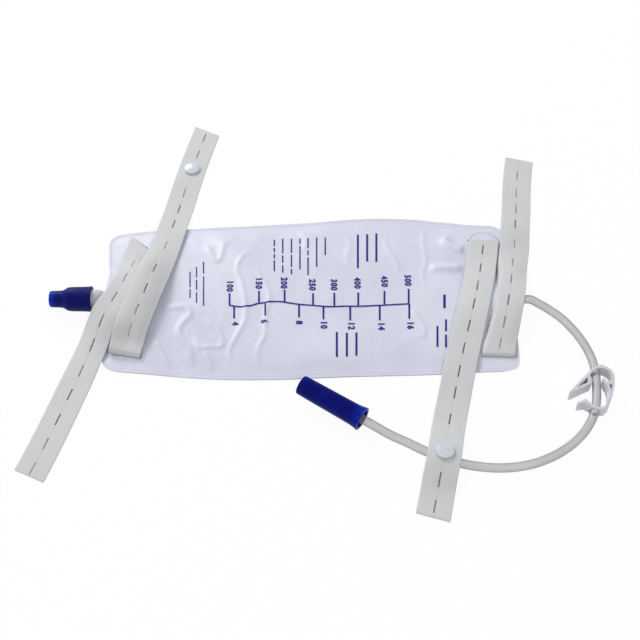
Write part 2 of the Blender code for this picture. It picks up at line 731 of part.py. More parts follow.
def reflux_valve(parts, finish):
    """A thin sleeve on the inlet's spigot that flattens to a flap, so that urine can't run back."""
    spigot = INLET_BOAT_THICK / 2 - 1.0 * MM
    root = spigot + GAP + REFLUX_WALL / 2
    start = INLET.x - INLET_INSIDE - 0.5 * MM
    around, rings = 16, 7
    bm = bmesh.new()
    bmesh.ops.create_cone(bm, cap_ends=False, segments=around, radius1=1.0, radius2=1.0, depth=1.0)
    bmesh.ops.subdivide_edges(bm, edges=[e for e in bm.edges if abs(e.verts[0].co.z - e.verts[1].co.z) > 0.5],
                              cuts=rings - 1)
    for vert in bm.verts:
        t = vert.co.z + 0.5
        turn = atan2(vert.co.y, vert.co.x)
        flat = rise(t, 0.18, 0.5)
        x = start - REFLUX_LENGTH * t
        y = INLET.y + (root + (REFLUX_WIDTH / 2 - root) * flat) * cos(turn)
        room = clear_height(x, y) / 2 - REFLUX_WALL / 2 - 2 * GAP
        high = min(root + (REFLUX_OPEN - root) * flat, room)
        middle = under_side(x, y) + FILM + clear_height(x, y) / 2
        vert.co = (x, y, middle + high * sin(turn))
    bmesh.ops.recalc_face_normals(bm, faces=bm.faces)
    obj = put_bmesh("reflux_valve", bm, parts, finish)
    solidify(obj, REFLUX_WALL)
    return obj


# Tube, clamp, connector and cap

def cap_axis():
    """Out of the cap's mouth, along the tube."""
    tip = radians(CAP_TIP)
    heading = radians(CAP_HEADING)
    inward = Vector((cos(heading) * cos(tip), sin(heading) * cos(tip), sin(tip)))
    mouth = Vector((CAP_MOUTH_AT[0] * MM, CAP_MOUTH_AT[1] * MM, CAP_RIM_OD / 2 + 0.1 * MM))
    return mouth, inward


def tube_route():
    mouth, inward = cap_axis()
    start = INLET + Vector((INLET_OUT + 3 * GAP, 0, 0))
    end = mouth + inward * (CONNECTOR_IN - GAP)
    route = [start, start + Vector((4 * MM, 0, 0))]
    route += [Vector(point) * MM for point in TUBE_BEND]
    route += [end - inward * (30 * MM), end - inward * (15 * MM), end]
    return route


def inlet_tube(parts, finish):
    path = smooth_path(tube_route(), 2.4 * TUBE_OD / 2)
    curve = bpy.data.curves.new("inlet_tube", "CURVE")
    curve.dimensions = "3D"
    curve.bevel_depth = TUBE_OD / 2
    curve.bevel_resolution = 3
    curve.use_fill_caps = True
    line = curve.splines.new("POLY")
    line.points.add(len(path) - 1)
    for point, place in zip(line.points, path):
        point.co = (*place, 1.0)
    curve.materials.append(finish)
    obj = bpy.data.objects.new("inlet_tube", curve)
    parts.objects.link(obj)
    return obj


def pinch_clamp(parts, cutters, finish):
    curve = bpy.data.curves.new("clamp_outline", "CURVE")
    curve.dimensions = "2D"
    curve.fill_mode = "BOTH"
    curve.extrude = CLAMP_HEIGHT / 2
    for outline in [CLAMP_OUTLINE] + CLAMP_WINDOWS:
        line = curve.splines.new("POLY")
        line.points.add(len(outline) - 1)
        line.use_cyclic_u = True
        for point, (x, y) in zip(line.points, outline):
            point.co = (x * MM, y * MM, 0.0, 1.0)
    guide = bpy.data.objects.new("clamp_outline", curve)
    parts.objects.link(guide)
    guide.location.z = CLAMP_HEIGHT / 2
    bpy.context.view_layer.update()
    graph = bpy.context.evaluated_depsgraph_get()
    mesh = bpy.data.meshes.new_from_object(guide.evaluated_get(graph))
    bm = bmesh.new()
    bm.from_mesh(mesh)
    bmesh.ops.remove_doubles(bm, verts=bm.verts, dist=0.00001)
    bmesh.ops.recalc_face_normals(bm, faces=bm.faces)
    bm.to_mesh(mesh)
    bm.free()
    mesh.materials.clear()
    clamp = put("pinch_clamp", mesh, parts, finish)
    clamp.matrix_world = guide.matrix_world.copy()
    bpy.data.objects.remove(guide)
    for number, (start, end) in enumerate(CLAMP_HOLES):
        middle = (Vector(start) + Vector(end)) / 2 * MM
        way = (Vector(end) - Vector(start)).normalized()
        half = (Vector(end) - Vector(start)).length * MM / 2 + CLAMP_HOLE_REACH
        hole = as_cutter(turned("clamp_hole_%d" % number, [
            (0.0, half), (TUBE_OD / 2 + CLAMP_HOLE_FIT, half),
            (TUBE_OD / 2 + CLAMP_HOLE_FIT, -half), (0.0, -half)], cutters, sides=16))
        hole.matrix_world = frame_along(Vector((middle.x, middle.y, CLAMP_HEIGHT / 2)), way.to_3d())
        combine(clamp, hole, "DIFFERENCE")
    return clamp


def connector(parts, finish):
    """The stepped adapter inside the cap, with a bore right through."""
    mouth, inward = cap_axis()
    big = CONNECTOR_BIG / 2
    small = CONNECTOR_SMALL / 2
    profile = []
    step = CONNECTOR_LENGTH / CONNECTOR_STEPS
    for number in range(CONNECTOR_STEPS):
        top = CONNECTOR_LENGTH - step * number
        share = number / (CONNECTOR_STEPS - 1)
        radius = small + (big - small) * share
        profile += [(radius - STEP_LIP, top), (radius, top - step + 1.4 * MM), (radius, top - step + 0.2 * MM)]
    bore = CONNECTOR_BORE / 2
    profile += [(big, 0.0), (bore, 0.0), (bore, CONNECTOR_LENGTH)]
    obj = turned("catheter_connector", profile, parts, finish, closed=True, sides=18)
    obj.matrix_world = frame_along(mouth + inward * CONNECTOR_IN, inward)
    return obj


def connector_cap(parts, finish):
    """The navy sheath, closed at the end by the bag and flared at its mouth."""
    mouth, inward = cap_axis()
    body = CAP_OD / 2
    end = CAP_END_OD / 2
    rim = CAP_RIM_OD / 2
    inner = body - CAP_WALL
    inner_end = end - CAP_WALL
    obj = turned("connector_cap", [
        (0.0, CAP_LENGTH), (end - 1.2 * MM, CAP_LENGTH), (end - 0.3 * MM, CAP_LENGTH - 0.4 * MM),
        (end, CAP_LENGTH - 1.2 * MM), (body, CAP_RIM + 4 * MM), (body + 0.2 * MM, CAP_RIM + 1 * MM),
        (rim - 0.3 * MM, 1.0 * MM), (rim, 0.4 * MM), (rim - 0.4 * MM, 0.0), (rim - CAP_WALL, 0.0),
        (inner + 0.2 * MM, CAP_RIM), (inner, CAP_RIM + 4 * MM), (inner_end, CAP_LENGTH - 3 * MM),
        (inner_end - 1.5 * MM, CAP_LENGTH - CAP_WALL), (0.0, CAP_LENGTH - CAP_WALL),
    ], parts, finish, sides=26)
    obj.matrix_world = frame_along(mouth, inward)
    return obj


# Buttons

def button_back(name, place, height, parts, finish):
    """The washer under the strap that holds the button's post."""
    rim = BUTTON_BACK_OD / 2
    hole = BUTTON_POST / 2 + GAP
    obj = turned(name, [(rim - 0.2 * MM, BUTTON_BACK), (rim, BUTTON_BACK - 0.3 * MM), (rim, 0.0), (hole, 0.0),
                        (hole, BUTTON_BACK)], parts, finish, closed=True, sides=24)
    obj.location = (place.x, place.y, height)
    return obj


def button(name, place, seat, foot, parts, finish):
    """A shallow domed disc whose post goes down through the strap into the washer."""
    rim = BUTTON_OD / 2
    post = BUTTON_POST / 2
    top = BUTTON_DISC + BUTTON_DOME
    obj = turned(name, [
        (0.0, top), (rim * 0.45, top - 0.1 * MM), (rim * 0.8, top - 0.3 * MM), (rim - 0.3 * MM, BUTTON_DISC),
        (rim, BUTTON_DISC - 0.5 * MM), (rim, 0.3 * MM), (rim - 0.4 * MM, 0.0), (post, 0.0),
        (post, foot - seat), (0.0, foot - seat)], parts, finish)
    obj.location = (place.x, place.y, seat)
    return obj


def button_hole(name, place, parts_cutters):
    hole = as_cutter(turned(name, [(0.0, 30 * MM), (BUTTON_POST / 2 + GAP, 30 * MM),
                                   (BUTTON_POST / 2 + GAP, -5 * MM), (0.0, -5 * MM)], parts_cutters, sides=20))
    hole.location = (place.x, place.y, 0.0)
    return hole


# Putting it together

def tree_of(obj):
    """The surface of a piece in world space, for laying a strap on it."""
    graph = bpy.context.evaluated_depsgraph_get()
    evaluated = obj.evaluated_get(graph)
    mesh = evaluated.to_mesh()
    corners = [obj.matrix_world @ vert.co for vert in mesh.vertices]
    faces = [tuple(face.vertices) for face in mesh.polygons]
    evaluated.to_mesh_clear()
    return BVHTree.FromPolygons(corners, faces)


def strap_runs():
    """The four visible lengths, each from its free end to its slot."""
    lower_left = Run([(-205.8, -143.0), (-204.1, -137.9), (-198.0, -117.1), (-192.0, -95.0), (-186.4, -73.1),
                      (-180.7, -51.4), (-174.6, -30.0), (-167.3, -9.0), (-159.2, 12.0), (-153.6, 34.0),
                      (-149.9, 56.0), (-146.1, 73.0)], -25, -45, SLITS_LOWER_LEFT)
    upper_left = Run([(-102.2, 219.6), (-107.3, 194.0), (-112.1, 168.0), (-116.4, 143.0), (-120.0, 119.4),
                      (-123.3, 96.0), (-126.7, 72.0), (-131.0, 48.0), (-135.3, 25.7), (-140.1, 4.0),
                      (-144.9, -17.0), (-148.6, -35.8)], -29, -11, SLITS_UPPER_LEFT, button=BOTTOM_BUTTON)
    upper_right = Run([(176.4, 182.0), (172.7, 162.3), (169.4, 140.0), (166.9, 119.5), (164.0, 99.0),
                       (161.2, 77.0), (157.2, 55.0), (153.4, 33.0), (148.9, 11.0), (143.8, -9.6),
                       (138.9, -28.0), (136.6, -36.4)], -16, 0, SLITS_UPPER_RIGHT)
    lower_right = Run([(77.6, -176.0), (79.2, -169.0), (84.0, -147.5), (88.6, -127.5), (94.2, -99.0),
                       (99.8, -75.0), (104.8, -53.5), (109.9, -32.5), (115.9, -9.1), (122.6, 17.2),
                       (128.4, 43.8), (132.9, 67.0), (135.2, 79.6)], -17, 0, SLITS_LOWER_RIGHT, button=TOP_BUTTON)
    return lower_left, upper_left, upper_right, lower_right


def buttoned(prefix, run, under, parts, cutters, finish):
    """Seats a washer on what is below a run's button place. The strap is laid after it."""
    place = run.centre(run.button)
    half = BUTTON_BACK_OD / 2
    rim = [place + Vector((cos(turn), sin(turn))) * half * share
           for turn in (2 * pi * step / 16 for step in range(16)) for share in (0.3, 0.6, 1.0)]
    rest = max(height_below(under, spot.x, spot.y) for spot in rim)
    seat = rest + (GAP if rest > 0 else 0.0)
    return place, seat, button_back(prefix + "_button_back", place, seat, parts, finish)


def close_button(prefix, place, seat, strap_piece, parts, cutters, finish):
    """Sets the button on top of the laid strap and cuts the hole for its post."""
    tree = tree_of(strap_piece)
    half = BUTTON_OD / 2
    rim = [place + Vector((cos(turn), sin(turn))) * half * share
           for turn in (2 * pi * step / 16 for step in range(16)) for share in (0.3, 0.6, 1.0)]
    top = max(height_below([tree], spot.x, spot.y) for spot in rim) + GAP
    combine(strap_piece, button_hole(prefix + "_post_hole", place, cutters), "DIFFERENCE")
    return button(prefix + "_button", place, top, seat + 0.2 * MM, parts, finish)


def centre_on_floor(parts, cutters, on_cord):
    """Moves everything so that the middle of the footprint is the origin, without the pieces on the tube."""
    bpy.context.view_layer.update()
    graph = bpy.context.evaluated_depsgraph_get()
    corners = []
    for obj in parts.objects:
        if obj.name not in on_cord:
            evaluated = obj.evaluated_get(graph)
            mesh = evaluated.to_mesh()
            corners += [evaluated.matrix_world @ vert.co for vert in mesh.vertices]
            evaluated.to_mesh_clear()
    middle_x = (min(c.x for c in corners) + max(c.x for c in corners)) / 2
    middle_y = (min(c.y for c in corners) + max(c.y for c in corners)) / 2
    for obj in list(parts.objects) + list(cutters.objects):
        obj.location -= Vector((middle_x, middle_y, 0.0))


def build():
    for obj in list(bpy.data.objects):
        bpy.data.objects.remove(obj)
    parts = make_collection("urine_drainage_bag")
    cutters = make_collection("cutters")
    milky = material("milky_film", (0.70, 0.69, 0.80), 0.30)
    clear = material("clear_vinyl", (0.78, 0.80, 0.84), 0.20)
    elastic = material("knitted_elastic", (0.66, 0.68, 0.66), 0.90)
    navy = material("navy_plastic", (0.012, 0.018, 0.16), 0.35)
    sheath = material("navy_sheath", (0.015, 0.022, 0.20), 0.20)
    white = material("white_plastic", (0.80, 0.80, 0.82), 0.30)
    seal = material("seal_rubber", (0.06, 0.06, 0.06), 0.60)

    lower_left, upper_left, upper_right, lower_right = strap_runs()
    slots = [slot_cutter("slot_%d" % number, run, cutters)
             for number, run in enumerate((lower_left, upper_left, upper_right, lower_right))]
    back = film("back_film", BACK_STEPS, back_film_at, parts, milky)
    front = film("front_film", FRONT_STEPS, front_film_at, parts, milky)
    for sheet in (back, front):
        for slot in slots:
            combine(sheet, slot, "DIFFERENCE")

    port = outlet_port(parts, cutters, clear)
    valve_stem(parts, cutters, white)
    valve_o_ring(parts, seal)
    valve = twist_valve(parts, navy)
    entry = inlet_port(parts, cutters, clear)
    reflux_valve(parts, clear)
    tube = inlet_tube(parts, clear)
    clamp = pinch_clamp(parts, cutters, white)
    connector(parts, clear)
    cap = connector_cap(parts, sheath)
    bpy.context.view_layer.update()

    below = [tree_of(piece) for piece in (back, front, port, valve, entry, tube, clamp, cap)]
    place_l, seat_l, washer_l = buttoned("bottom", upper_left, below, parts, cutters, white)
    place_r, seat_r, washer_r = buttoned("top", lower_right, below, parts, cutters, white)
    bpy.context.view_layer.update()
    below += [tree_of(washer_l), tree_of(washer_r)]
    ll = drape(lower_left, below)
    ul = drape(upper_left, below + [strap_tree(lower_left, ll)])
    ur = drape(upper_right, below)
    lr = drape(lower_right, below + [strap_tree(upper_right, ur)])
    bottom = strap("bottom_strap", lower_left, ll, upper_left, ul, parts, elastic)
    top = strap("top_strap", upper_right, ur, lower_right, lr, parts, elastic)
    bpy.context.view_layer.update()
    close_button("bottom", place_l, seat_l, bottom, parts, cutters, white)
    close_button("top", place_r, seat_r, top, parts, cutters, white)
    centre_on_floor(parts, cutters, {"inlet_tube", "pinch_clamp", "catheter_connector", "connector_cap"})
    for obj in parts.objects:
        if obj.type == "MESH":
            obj.data.shade_smooth()
            obj.data.set_sharp_from_angle(angle=radians(35))


build()
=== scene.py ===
# %% [markdown]
# # A urine drainage bag, dressed in Blender
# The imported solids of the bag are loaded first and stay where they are. Every piece that is made
# below takes its place from them, so nothing has to be fitted by eye.

# %% Load the frame
import math

import bmesh
import bpy
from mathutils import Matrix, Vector, noise
from mathutils.bvhtree import BVHTree
from mathutils.kdtree import KDTree


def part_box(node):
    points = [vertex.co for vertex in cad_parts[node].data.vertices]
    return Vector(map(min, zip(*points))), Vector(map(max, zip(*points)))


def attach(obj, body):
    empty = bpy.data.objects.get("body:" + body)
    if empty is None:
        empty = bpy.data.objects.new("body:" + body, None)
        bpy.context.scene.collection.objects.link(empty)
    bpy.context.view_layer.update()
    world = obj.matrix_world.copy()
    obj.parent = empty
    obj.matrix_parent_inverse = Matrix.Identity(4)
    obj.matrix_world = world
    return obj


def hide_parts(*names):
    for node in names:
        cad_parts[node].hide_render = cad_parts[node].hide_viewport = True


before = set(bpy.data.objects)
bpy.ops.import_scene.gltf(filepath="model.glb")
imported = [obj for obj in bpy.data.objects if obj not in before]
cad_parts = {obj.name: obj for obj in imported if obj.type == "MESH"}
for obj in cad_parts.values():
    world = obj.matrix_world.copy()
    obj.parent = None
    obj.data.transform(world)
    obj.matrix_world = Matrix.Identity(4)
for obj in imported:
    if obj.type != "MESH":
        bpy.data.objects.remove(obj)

MM = 0.001
DOWN = Vector((0, 0, -1))
HIGH_UP = 50 * MM  # above everything on the bag, for looking straight down
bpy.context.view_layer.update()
print("nodes in the frame:", len(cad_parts))

# %% [markdown]
# ## The maker's plan
# Sizes on this bag are easiest to give in millimetres on a plan whose origin lies near the middle of
# the print. The drain valve is a plain round piece, so its box tells how far that plan was shifted.

# %% From plan millimetres to the frame's metres
VALVE_ON_PLAN = Vector((-212.1, 12.8, 0.0))
low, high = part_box("twist_valve")
SHIFT = Vector((low.x, (low.y + high.y) / 2, 0.0)) - VALVE_ON_PLAN * MM


def plan(x, y, z=0.0):
    """A point of the plan, given in millimetres, in the frame's metres."""
    return Vector((x, y, z)) * MM + SHIFT


print("plan shifted by", [round(c * 1000, 2) for c in SHIFT], "mm")

# %% [markdown]
# ## Camera
# The bag was seen from in front and well above: both long edges of the film run nearly level, and a
# square on it looks about four fifths as tall as wide. That puts the camera 51 degrees up.

# %% Place the camera
ELEVATION = math.radians(51)
DISTANCE = 0.892
camera_data = bpy.data.cameras.new("camera")
camera_data.lens = 63.84
camera_data.sensor_width = 36.0
camera_data.clip_start = 0.01
camera = bpy.data.objects.new("camera", camera_data)
bpy.context.scene.collection.objects.link(camera)
camera.location = plan(0, 0) + DISTANCE * Vector((0, -math.cos(ELEVATION), math.sin(ELEVATION)))
camera.rotation_euler = (math.radians(90) - ELEVATION, 0, 0)
bpy.context.scene.camera = camera
print("camera at", [round(c, 3) for c in camera.location])

# %% [markdown]
# ## Sums with sockets
# A pattern is worked out in a material by nodes that add, multiply and compare. Wrapping a socket in a
# small class lets those nodes be written as plain sums.


# %% A wire that can be used in sums
class Wire:
    """The output of a node, with Python's operators making Math nodes."""

    def __init__(self, finish, socket):
        self.finish = finish
        self.socket = socket

    def sum(self, operation, first, second=None):
        sockets = {0: first} if second is None else {0: first, 1: second}
        return self.finish.add("Math", {"operation": operation}, sockets)

    def __add__(self, other):
        return self.sum("ADD", self, other)

    def __sub__(self, other):
        return self.sum("SUBTRACT", self, other)

    def __rsub__(self, other):
        return self.sum("SUBTRACT", other, self)

    def __mul__(self, other):
        return self.sum("MULTIPLY", self, other)

    def __abs__(self):
        return self.sum("ABSOLUTE", self)

    def step(self, start, end):
        """0 before start, 1 after end, smooth between, for a start below the end."""
        return self.finish.add(
            "MapRange", {"interpolation_type": "SMOOTHSTEP"},
            {"Value": self, "From Min": start, "From Max": end})

    def wave(self, pitch):
        """A wave from 0 to 1 that repeats after this distance."""
        return self.sum("SINE", self * (math.tau / pitch)) * 0.5 + 0.5


# %% A finish and its nodes
class Finish:
    """A material with its shader, and one method that adds any node."""

    def __init__(self, name, **sockets):
        self.material = bpy.data.materials.new(name)
        self.material.use_nodes = True
        self.tree = self.material.node_tree
        self.shader = self.tree.nodes["Principled BSDF"]
        self.set(**sockets)

    def put(self, socket, value):
        if isinstance(value, Wire):
            self.tree.links.new(value.socket, socket)
        elif isinstance(value, tuple) and len(value) == 3 and socket.type == "RGBA":
            socket.default_value = (*value, 1.0)
        else:
            socket.default_value = value

    def set(self, **sockets):
        for name, value in sockets.items():
            self.put(self.shader.inputs[name.replace("_", " ")], value)

    def add(self, kind, settings=None, sockets=None, output=0):
        node = self.tree.nodes.new("ShaderNode" + kind)
        for name, value in (settings or {}).items():
            setattr(node, name, value)
        for name, value in (sockets or {}).items():
            self.put(node.inputs[name], value)
        return Wire(self, node.outputs[output])

    def split(self, vector):
        """The three parts of a vector, each as a wire."""
        parts = self.add("SeparateXYZ", None, {0: vector}).socket.node.outputs
        return [Wire(self, socket) for socket in parts]

    def place(self):
        """Object coordinates as three wires, in metres."""
        return self.split(self.add("TexCoord", output=3))

    def noise(self, scale, detail=2.0, distortion=0.0):
        """Cloudy noise on the object's own place, with this many clouds to a metre."""
        place = self.add("TexCoord", output=3)
        return self.add("TexNoise", None, {
            "Vector": place, "Scale": scale, "Detail": detail, "Distortion": distortion})

    def blend(self, share, first, second):
        """A colour between two colours."""
        return self.add("Mix", {"data_type": "RGBA"}, {0: share, 6: first, 7: second}, output=2)

    def bump(self, height, distance, strength):
        return self.add("Bump", None, {"Height": height, "Distance": distance, "Strength": strength})


def srgb(red, green, blue):
    """A colour as it is read from a screen, from 0 to 255, made linear for a shader."""
    shares = [value / 255 for value in (red, green, blue)]
    return tuple(((c + 0.055) / 1.055) ** 2.4 if c > 10 / 255 else c / 12.92 for c in shares)


print("helpers for finishes ready")

# %% [markdown]
# ## Tools for meshes
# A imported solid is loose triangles. To dress one, its mesh is copied, its doubles are merged and its
# triangles paired into four-sided faces, which is what a subdivision surface needs to come out smooth.


# %% Make, select and finish one piece
def piece_from(bm, name):
    """A new piece in the scene, with this mesh."""
    mesh = bpy.data.meshes.new(name)
    bm.to_mesh(mesh)
    bm.free()
    piece = bpy.data.objects.new(name, mesh)
    bpy.context.scene.collection.objects.link(piece)
    return piece


def select_only(piece):
    bpy.ops.object.select_all(action="DESELECT")
    piece.select_set(True)
    bpy.context.view_layer.objects.active = piece


def apply_all(piece):
    """Applies every modifier on a piece, first to last."""
    select_only(piece)
    for modifier in list(piece.modifiers):
        bpy.ops.object.modifier_apply(modifier=modifier.name)


# %% Copy a solid as one skin of quads
MERGE = 0.01 * MM


def merged_copy(node, name, pair=30):
    """A solid's mesh as one skin; triangles that turn less than pair degrees become quads."""
    piece = bpy.data.objects.new(name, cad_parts[node].data.copy())
    piece.data.name = name
    bpy.context.scene.collection.objects.link(piece)
    select_only(piece)
    if piece.data.has_custom_normals:
        bpy.ops.mesh.customdata_custom_splitnormals_clear()
    bpy.ops.object.mode_set(mode="EDIT")
    bpy.ops.mesh.select_all(action="SELECT")
    bpy.ops.mesh.remove_doubles(threshold=MERGE)
    bpy.ops.mesh.tris_convert_to_quads(face_threshold=math.radians(pair), shape_threshold=math.radians(60))
    bpy.ops.object.mode_set(mode="OBJECT")
    piece.data.materials.clear()
    return piece


# %% Round a skin but keep its hard edges
def crease_edges(piece, angle, crease):
    """Gives edges that turn more than this angle a crease, so that subdividing keeps them."""
    bm = bmesh.new()
    bm.from_mesh(piece.data)
    layer = bm.edges.layers.float.get("crease_edge") or bm.edges.layers.float.new("crease_edge")
    for edge in bm.edges:
        if len(edge.link_faces) != 2 or edge.calc_face_angle() > math.radians(angle):
            edge[layer] = crease
    bm.to_mesh(piece.data)
    bm.free()


def subdivide(piece, levels):
    modifier = piece.modifiers.new("subdivide", "SUBSURF")
    modifier.levels = levels
    modifier.render_levels = levels
    apply_all(piece)


def shade(piece, angle=40):
    select_only(piece)
    bpy.ops.object.shade_smooth_by_angle(angle=math.radians(angle))


def mesh_tree(*pieces):
    """A search tree of the surfaces of these pieces."""
    corners = []
    faces = []
    for piece in pieces:
        start = len(corners)
        corners += [vert.co.copy() for vert in piece.data.vertices]
        faces += [tuple(start + index for index in face.vertices) for face in piece.data.polygons]
    return BVHTree.FromPolygons(corners, faces)


def rise(value, start, end):
    t = min(1.0, max(0.0, (value - start) / (end - start)))
    return t * t * (3 - 2 * t)


print("helpers for meshes ready")

# %% [markdown]
# ## Inlet tube
# The tube is clear soft vinyl, about a third of a metre long. It leaves the spigot under the right
# strap, falls to the table, turns once round in a wide loop through the clamp and ends on the
# connector, inside the navy cap. A curve with a round bevel is the plainest way to make one.

# %% The tube's route and its curve
TUBE_OD = 6.8 * MM
CAP_MOUTH = plan(30.8, -100.0, 9.4)
CAP_INWARD = Vector((-0.84036, 0.5395, 0.05234))
TUBE_END = CAP_MOUTH + CAP_INWARD * (5.7 * MM)
TUBE_BEND = [
    (161.9, 16, 6.1), (165.9, 16, 6.1), (172.5, 12.4, 5.3), (181, 6, 4.6), (189.6, -2.4, 3.9),
    (195.4, -10.9, 3.6), (200.2, -20.1, 3.7), (204.2, -31.5, 4.1), (206.6, -43.3, 4.6),
    (207.1, -53.3, 4.7), (206.7, -61.3, 4.7), (205.8, -69.8, 4.7), (204.3, -79.3, 4.7),
    (201.4, -89.9, 4.7), (196.6, -99.9, 4.3), (188.9, -110.3, 3.8), (175.8, -121.9, 3.6),
    (159.9, -130.9, 3.6), (145.7, -135.5, 3.6), (128.5, -137.5, 3.6), (111.7, -136.2, 3.6),
    (99.6, -133.6, 3.6), (89.6, -130.2, 3.6), (76.3, -124.1, 3.7), (62.4, -116.9, 4.8),
]
route = [plan(*point) for point in TUBE_BEND]
route += [TUBE_END - CAP_INWARD * (30 * MM), TUBE_END - CAP_INWARD * (15 * MM), TUBE_END]


def tube_along(name, points, diameter):
    """A round tube on a smooth curve through these points."""
    curve = bpy.data.curves.new(name, "CURVE")
    curve.dimensions = "3D"
    curve.bevel_depth = diameter / 2
    curve.bevel_resolution = 6
    curve.resolution_u = 10
    curve.use_fill_caps = True
    line = curve.splines.new("BEZIER")
    line.bezier_points.add(len(points) - 1)
    for knot, point in zip(line.bezier_points, points):
        knot.co = point
        knot.handle_left_type = knot.handle_right_type = "AUTO"
    tube = bpy.data.objects.new(name, curve)
    bpy.context.scene.collection.objects.link(tube)
    return tube


inlet_tubing = tube_along("inlet_tubing", route, TUBE_OD)
print("tube length", round(inlet_tubing.data.splines[0].calc_length() * 1000, 1), "mm")

# %% The tube's finish
vinyl = Finish("clear_vinyl", Roughness=0.26, IOR=1.5, Coat_Weight=0.25, Coat_Roughness=0.12)
facing = vinyl.add("LayerWeight", None, {"Blend": 0.35}, output=1)
cloud = vinyl.noise(60.0, 1.0)
rim = facing.step(0.04, 0.6)
vinyl.set(
    Base_Color=vinyl.blend(cloud.step(0.3, 0.75), srgb(156, 157, 159), srgb(168, 169, 171)),
    Alpha=rim * 0.5 + 0.38,
    Normal=vinyl.bump(cloud, 0.1 * MM, 0.2))
inlet_tubing.data.materials.append(vinyl.material)

# %% [markdown]
# ## Elastic straps
# Each strap is one length of knitted elastic with a slit every few centimetres, for the button. It goes
# down through one slot of the film, along behind it, and up through the other. Its middle line is known
# from the plan, and its height is read from the solid, so a fine grid can be laid out row by row with
# the distance along and across the cloth written on it. The knit and the slits follow from those.

# %% A smooth line through points
ROW = 2 * MM
STEPS = 16  # from one knot of a curve to the next


def smooth_path(points):
    """Points close together on a Catmull-Rom curve through these, and the distance to each."""
    knots = [2 * points[0] - points[1]] + points + [2 * points[-1] - points[-2]]
    dense = []
    for before, start, end, after in zip(knots, knots[1:], knots[2:], knots[3:]):
        for number in range(STEPS):
            t = number / STEPS
            dense.append(0.5 * (2 * start + (end - before) * t
                                + (2 * before - 5 * start + 4 * end - after) * t * t
                                + (3 * start - before - 3 * end + after) * t * t * t))
    dense.append(knots[-2])
    lengths = [0.0]
    for first, second in zip(dense, dense[1:]):
        lengths.append(lengths[-1] + (second - first).length)
    return dense, lengths


# %% One visible length of a strap
STRAP_WIDTH = 24.6 * MM
STRAP_THICK = 1.2 * MM
SKEW_REACH = 30 * MM
SLIT_HALF = 4.8 * MM


class Run:
    """A length of strap from its free end to its slot, as its middle line on the plan.

    The cut at the end and the fold at the slot aren't square, so rows turn towards them. Where a run
    is rolled, its left edge curls under: start, fullest place, end, and the share that is lost."""

    def __init__(self, points, end_angle, fold_angle, slits, rolled=None):
        self.points, self.lengths = smooth_path([plan(*point) for point in points])
        self.length = self.lengths[-1]
        self.end_skew = math.radians(end_angle) - self.square(0.0)
        self.fold_skew = math.radians(fold_angle) - self.square(self.length)
        self.rolled = rolled
        self.slits = [middle * MM for middle in slits]

    def centre(self, distance):
        for index in range(1, len(self.points)):
            if distance <= self.lengths[index] or index == len(self.points) - 1:
                span = self.lengths[index] - self.lengths[index - 1]
                return self.points[index - 1].lerp(
                    self.points[index], min(1.0, (distance - self.lengths[index - 1]) / span))

    def square(self, distance):
        ahead = self.centre(min(self.length, distance + 3 * MM)) - self.centre(max(0.0, distance - 3 * MM))
        angle = math.atan2(ahead.y, ahead.x) - math.pi / 2
        return (angle + math.pi / 2) % math.pi - math.pi / 2

    def skew(self, distance):
        near_end = 1 - rise(distance, 0.0, SKEW_REACH)
        near_fold = rise(distance, self.length - SKEW_REACH, self.length)
        return self.end_skew * near_end + self.fold_skew * near_fold

    def spot(self, distance, across):
        """The plan point at this distance along and this far to the right of the middle line."""
        skew = self.skew(distance)
        angle = self.square(distance) + skew
        if self.rolled and across < 0:
            start, full, end, share = self.rolled
            across *= 1 - share * rise(distance, start, full) * (1 - rise(distance, full, end))
        return self.centre(distance) + Vector((math.cos(angle), math.sin(angle), 0)) * across / math.cos(skew)

    def marks(self):
        """Where the rows go: every two millimetres, and at both ends of each slit."""
        ends = [place + end for place in self.slits for end in (-SLIT_HALF, SLIT_HALF)]
        stops = sorted([0.0, self.length] + ends)
        marks = []
        for start, end in zip(stops, stops[1:]):
            count = max(1, round((end - start) / ROW))
            marks += [start + (end - start) * number / count for number in range(count)]
        return marks + [self.length]


# %% The four runs
LOWER_LEFT = Run([(-205.8, -143), (-204.1, -137.9), (-198, -117.1), (-192, -95), (-186.4, -73.1),
                  (-180.7, -51.4), (-174.6, -30), (-167.3, -9), (-159.2, 12), (-153.6, 34),
                  (-149.9, 56), (-146.1, 73)], -25, -45,
                 (6.4, 28, 50, 73, 95, 118, 137, 159, 181, 201), (0.128, 0.176, 0.222, 0.3))
UPPER_LEFT = Run([(-102.2, 219.6), (-107.3, 194), (-112.1, 168), (-116.4, 143), (-120, 119.4),
                  (-123.3, 96), (-126.7, 72), (-131, 48), (-135.3, 25.7), (-140.1, 4),
                  (-144.9, -17), (-148.6, -35.8)], -29, -11,
                 (10, 32, 81, 101, 121, 149, 180, 204, 226, 244))
UPPER_RIGHT = Run([(176.4, 182), (172.7, 162.3), (169.4, 140), (166.9, 119.5), (163.8, 99),
                   (160.8, 77), (156.5, 55), (152.4, 33), (147.8, 11), (142.8, -9.6),
                   (138.2, -28), (136.2, -36.4)], -16, 0,
                  (21, 43, 62, 81, 105, 128, 151, 174, 195, 214))
LOWER_RIGHT = Run([(77.6, -176), (79.2, -169), (84, -147.5), (88.6, -127.5), (94.2, -99),
                   (99.8, -75), (104.8, -53.5), (109.9, -32.5), (116.1, -9.1), (122.9, 17.2),
                   (128.8, 43.8), (133.1, 67), (135.2, 79.6)], -17, 0,
                  (9, 29, 83, 107, 126, 147, 168, 189, 208, 229, 251))
print("runs", [round(run.length * 1000) for run in (LOWER_LEFT, UPPER_LEFT, UPPER_RIGHT, LOWER_RIGHT)], "mm")

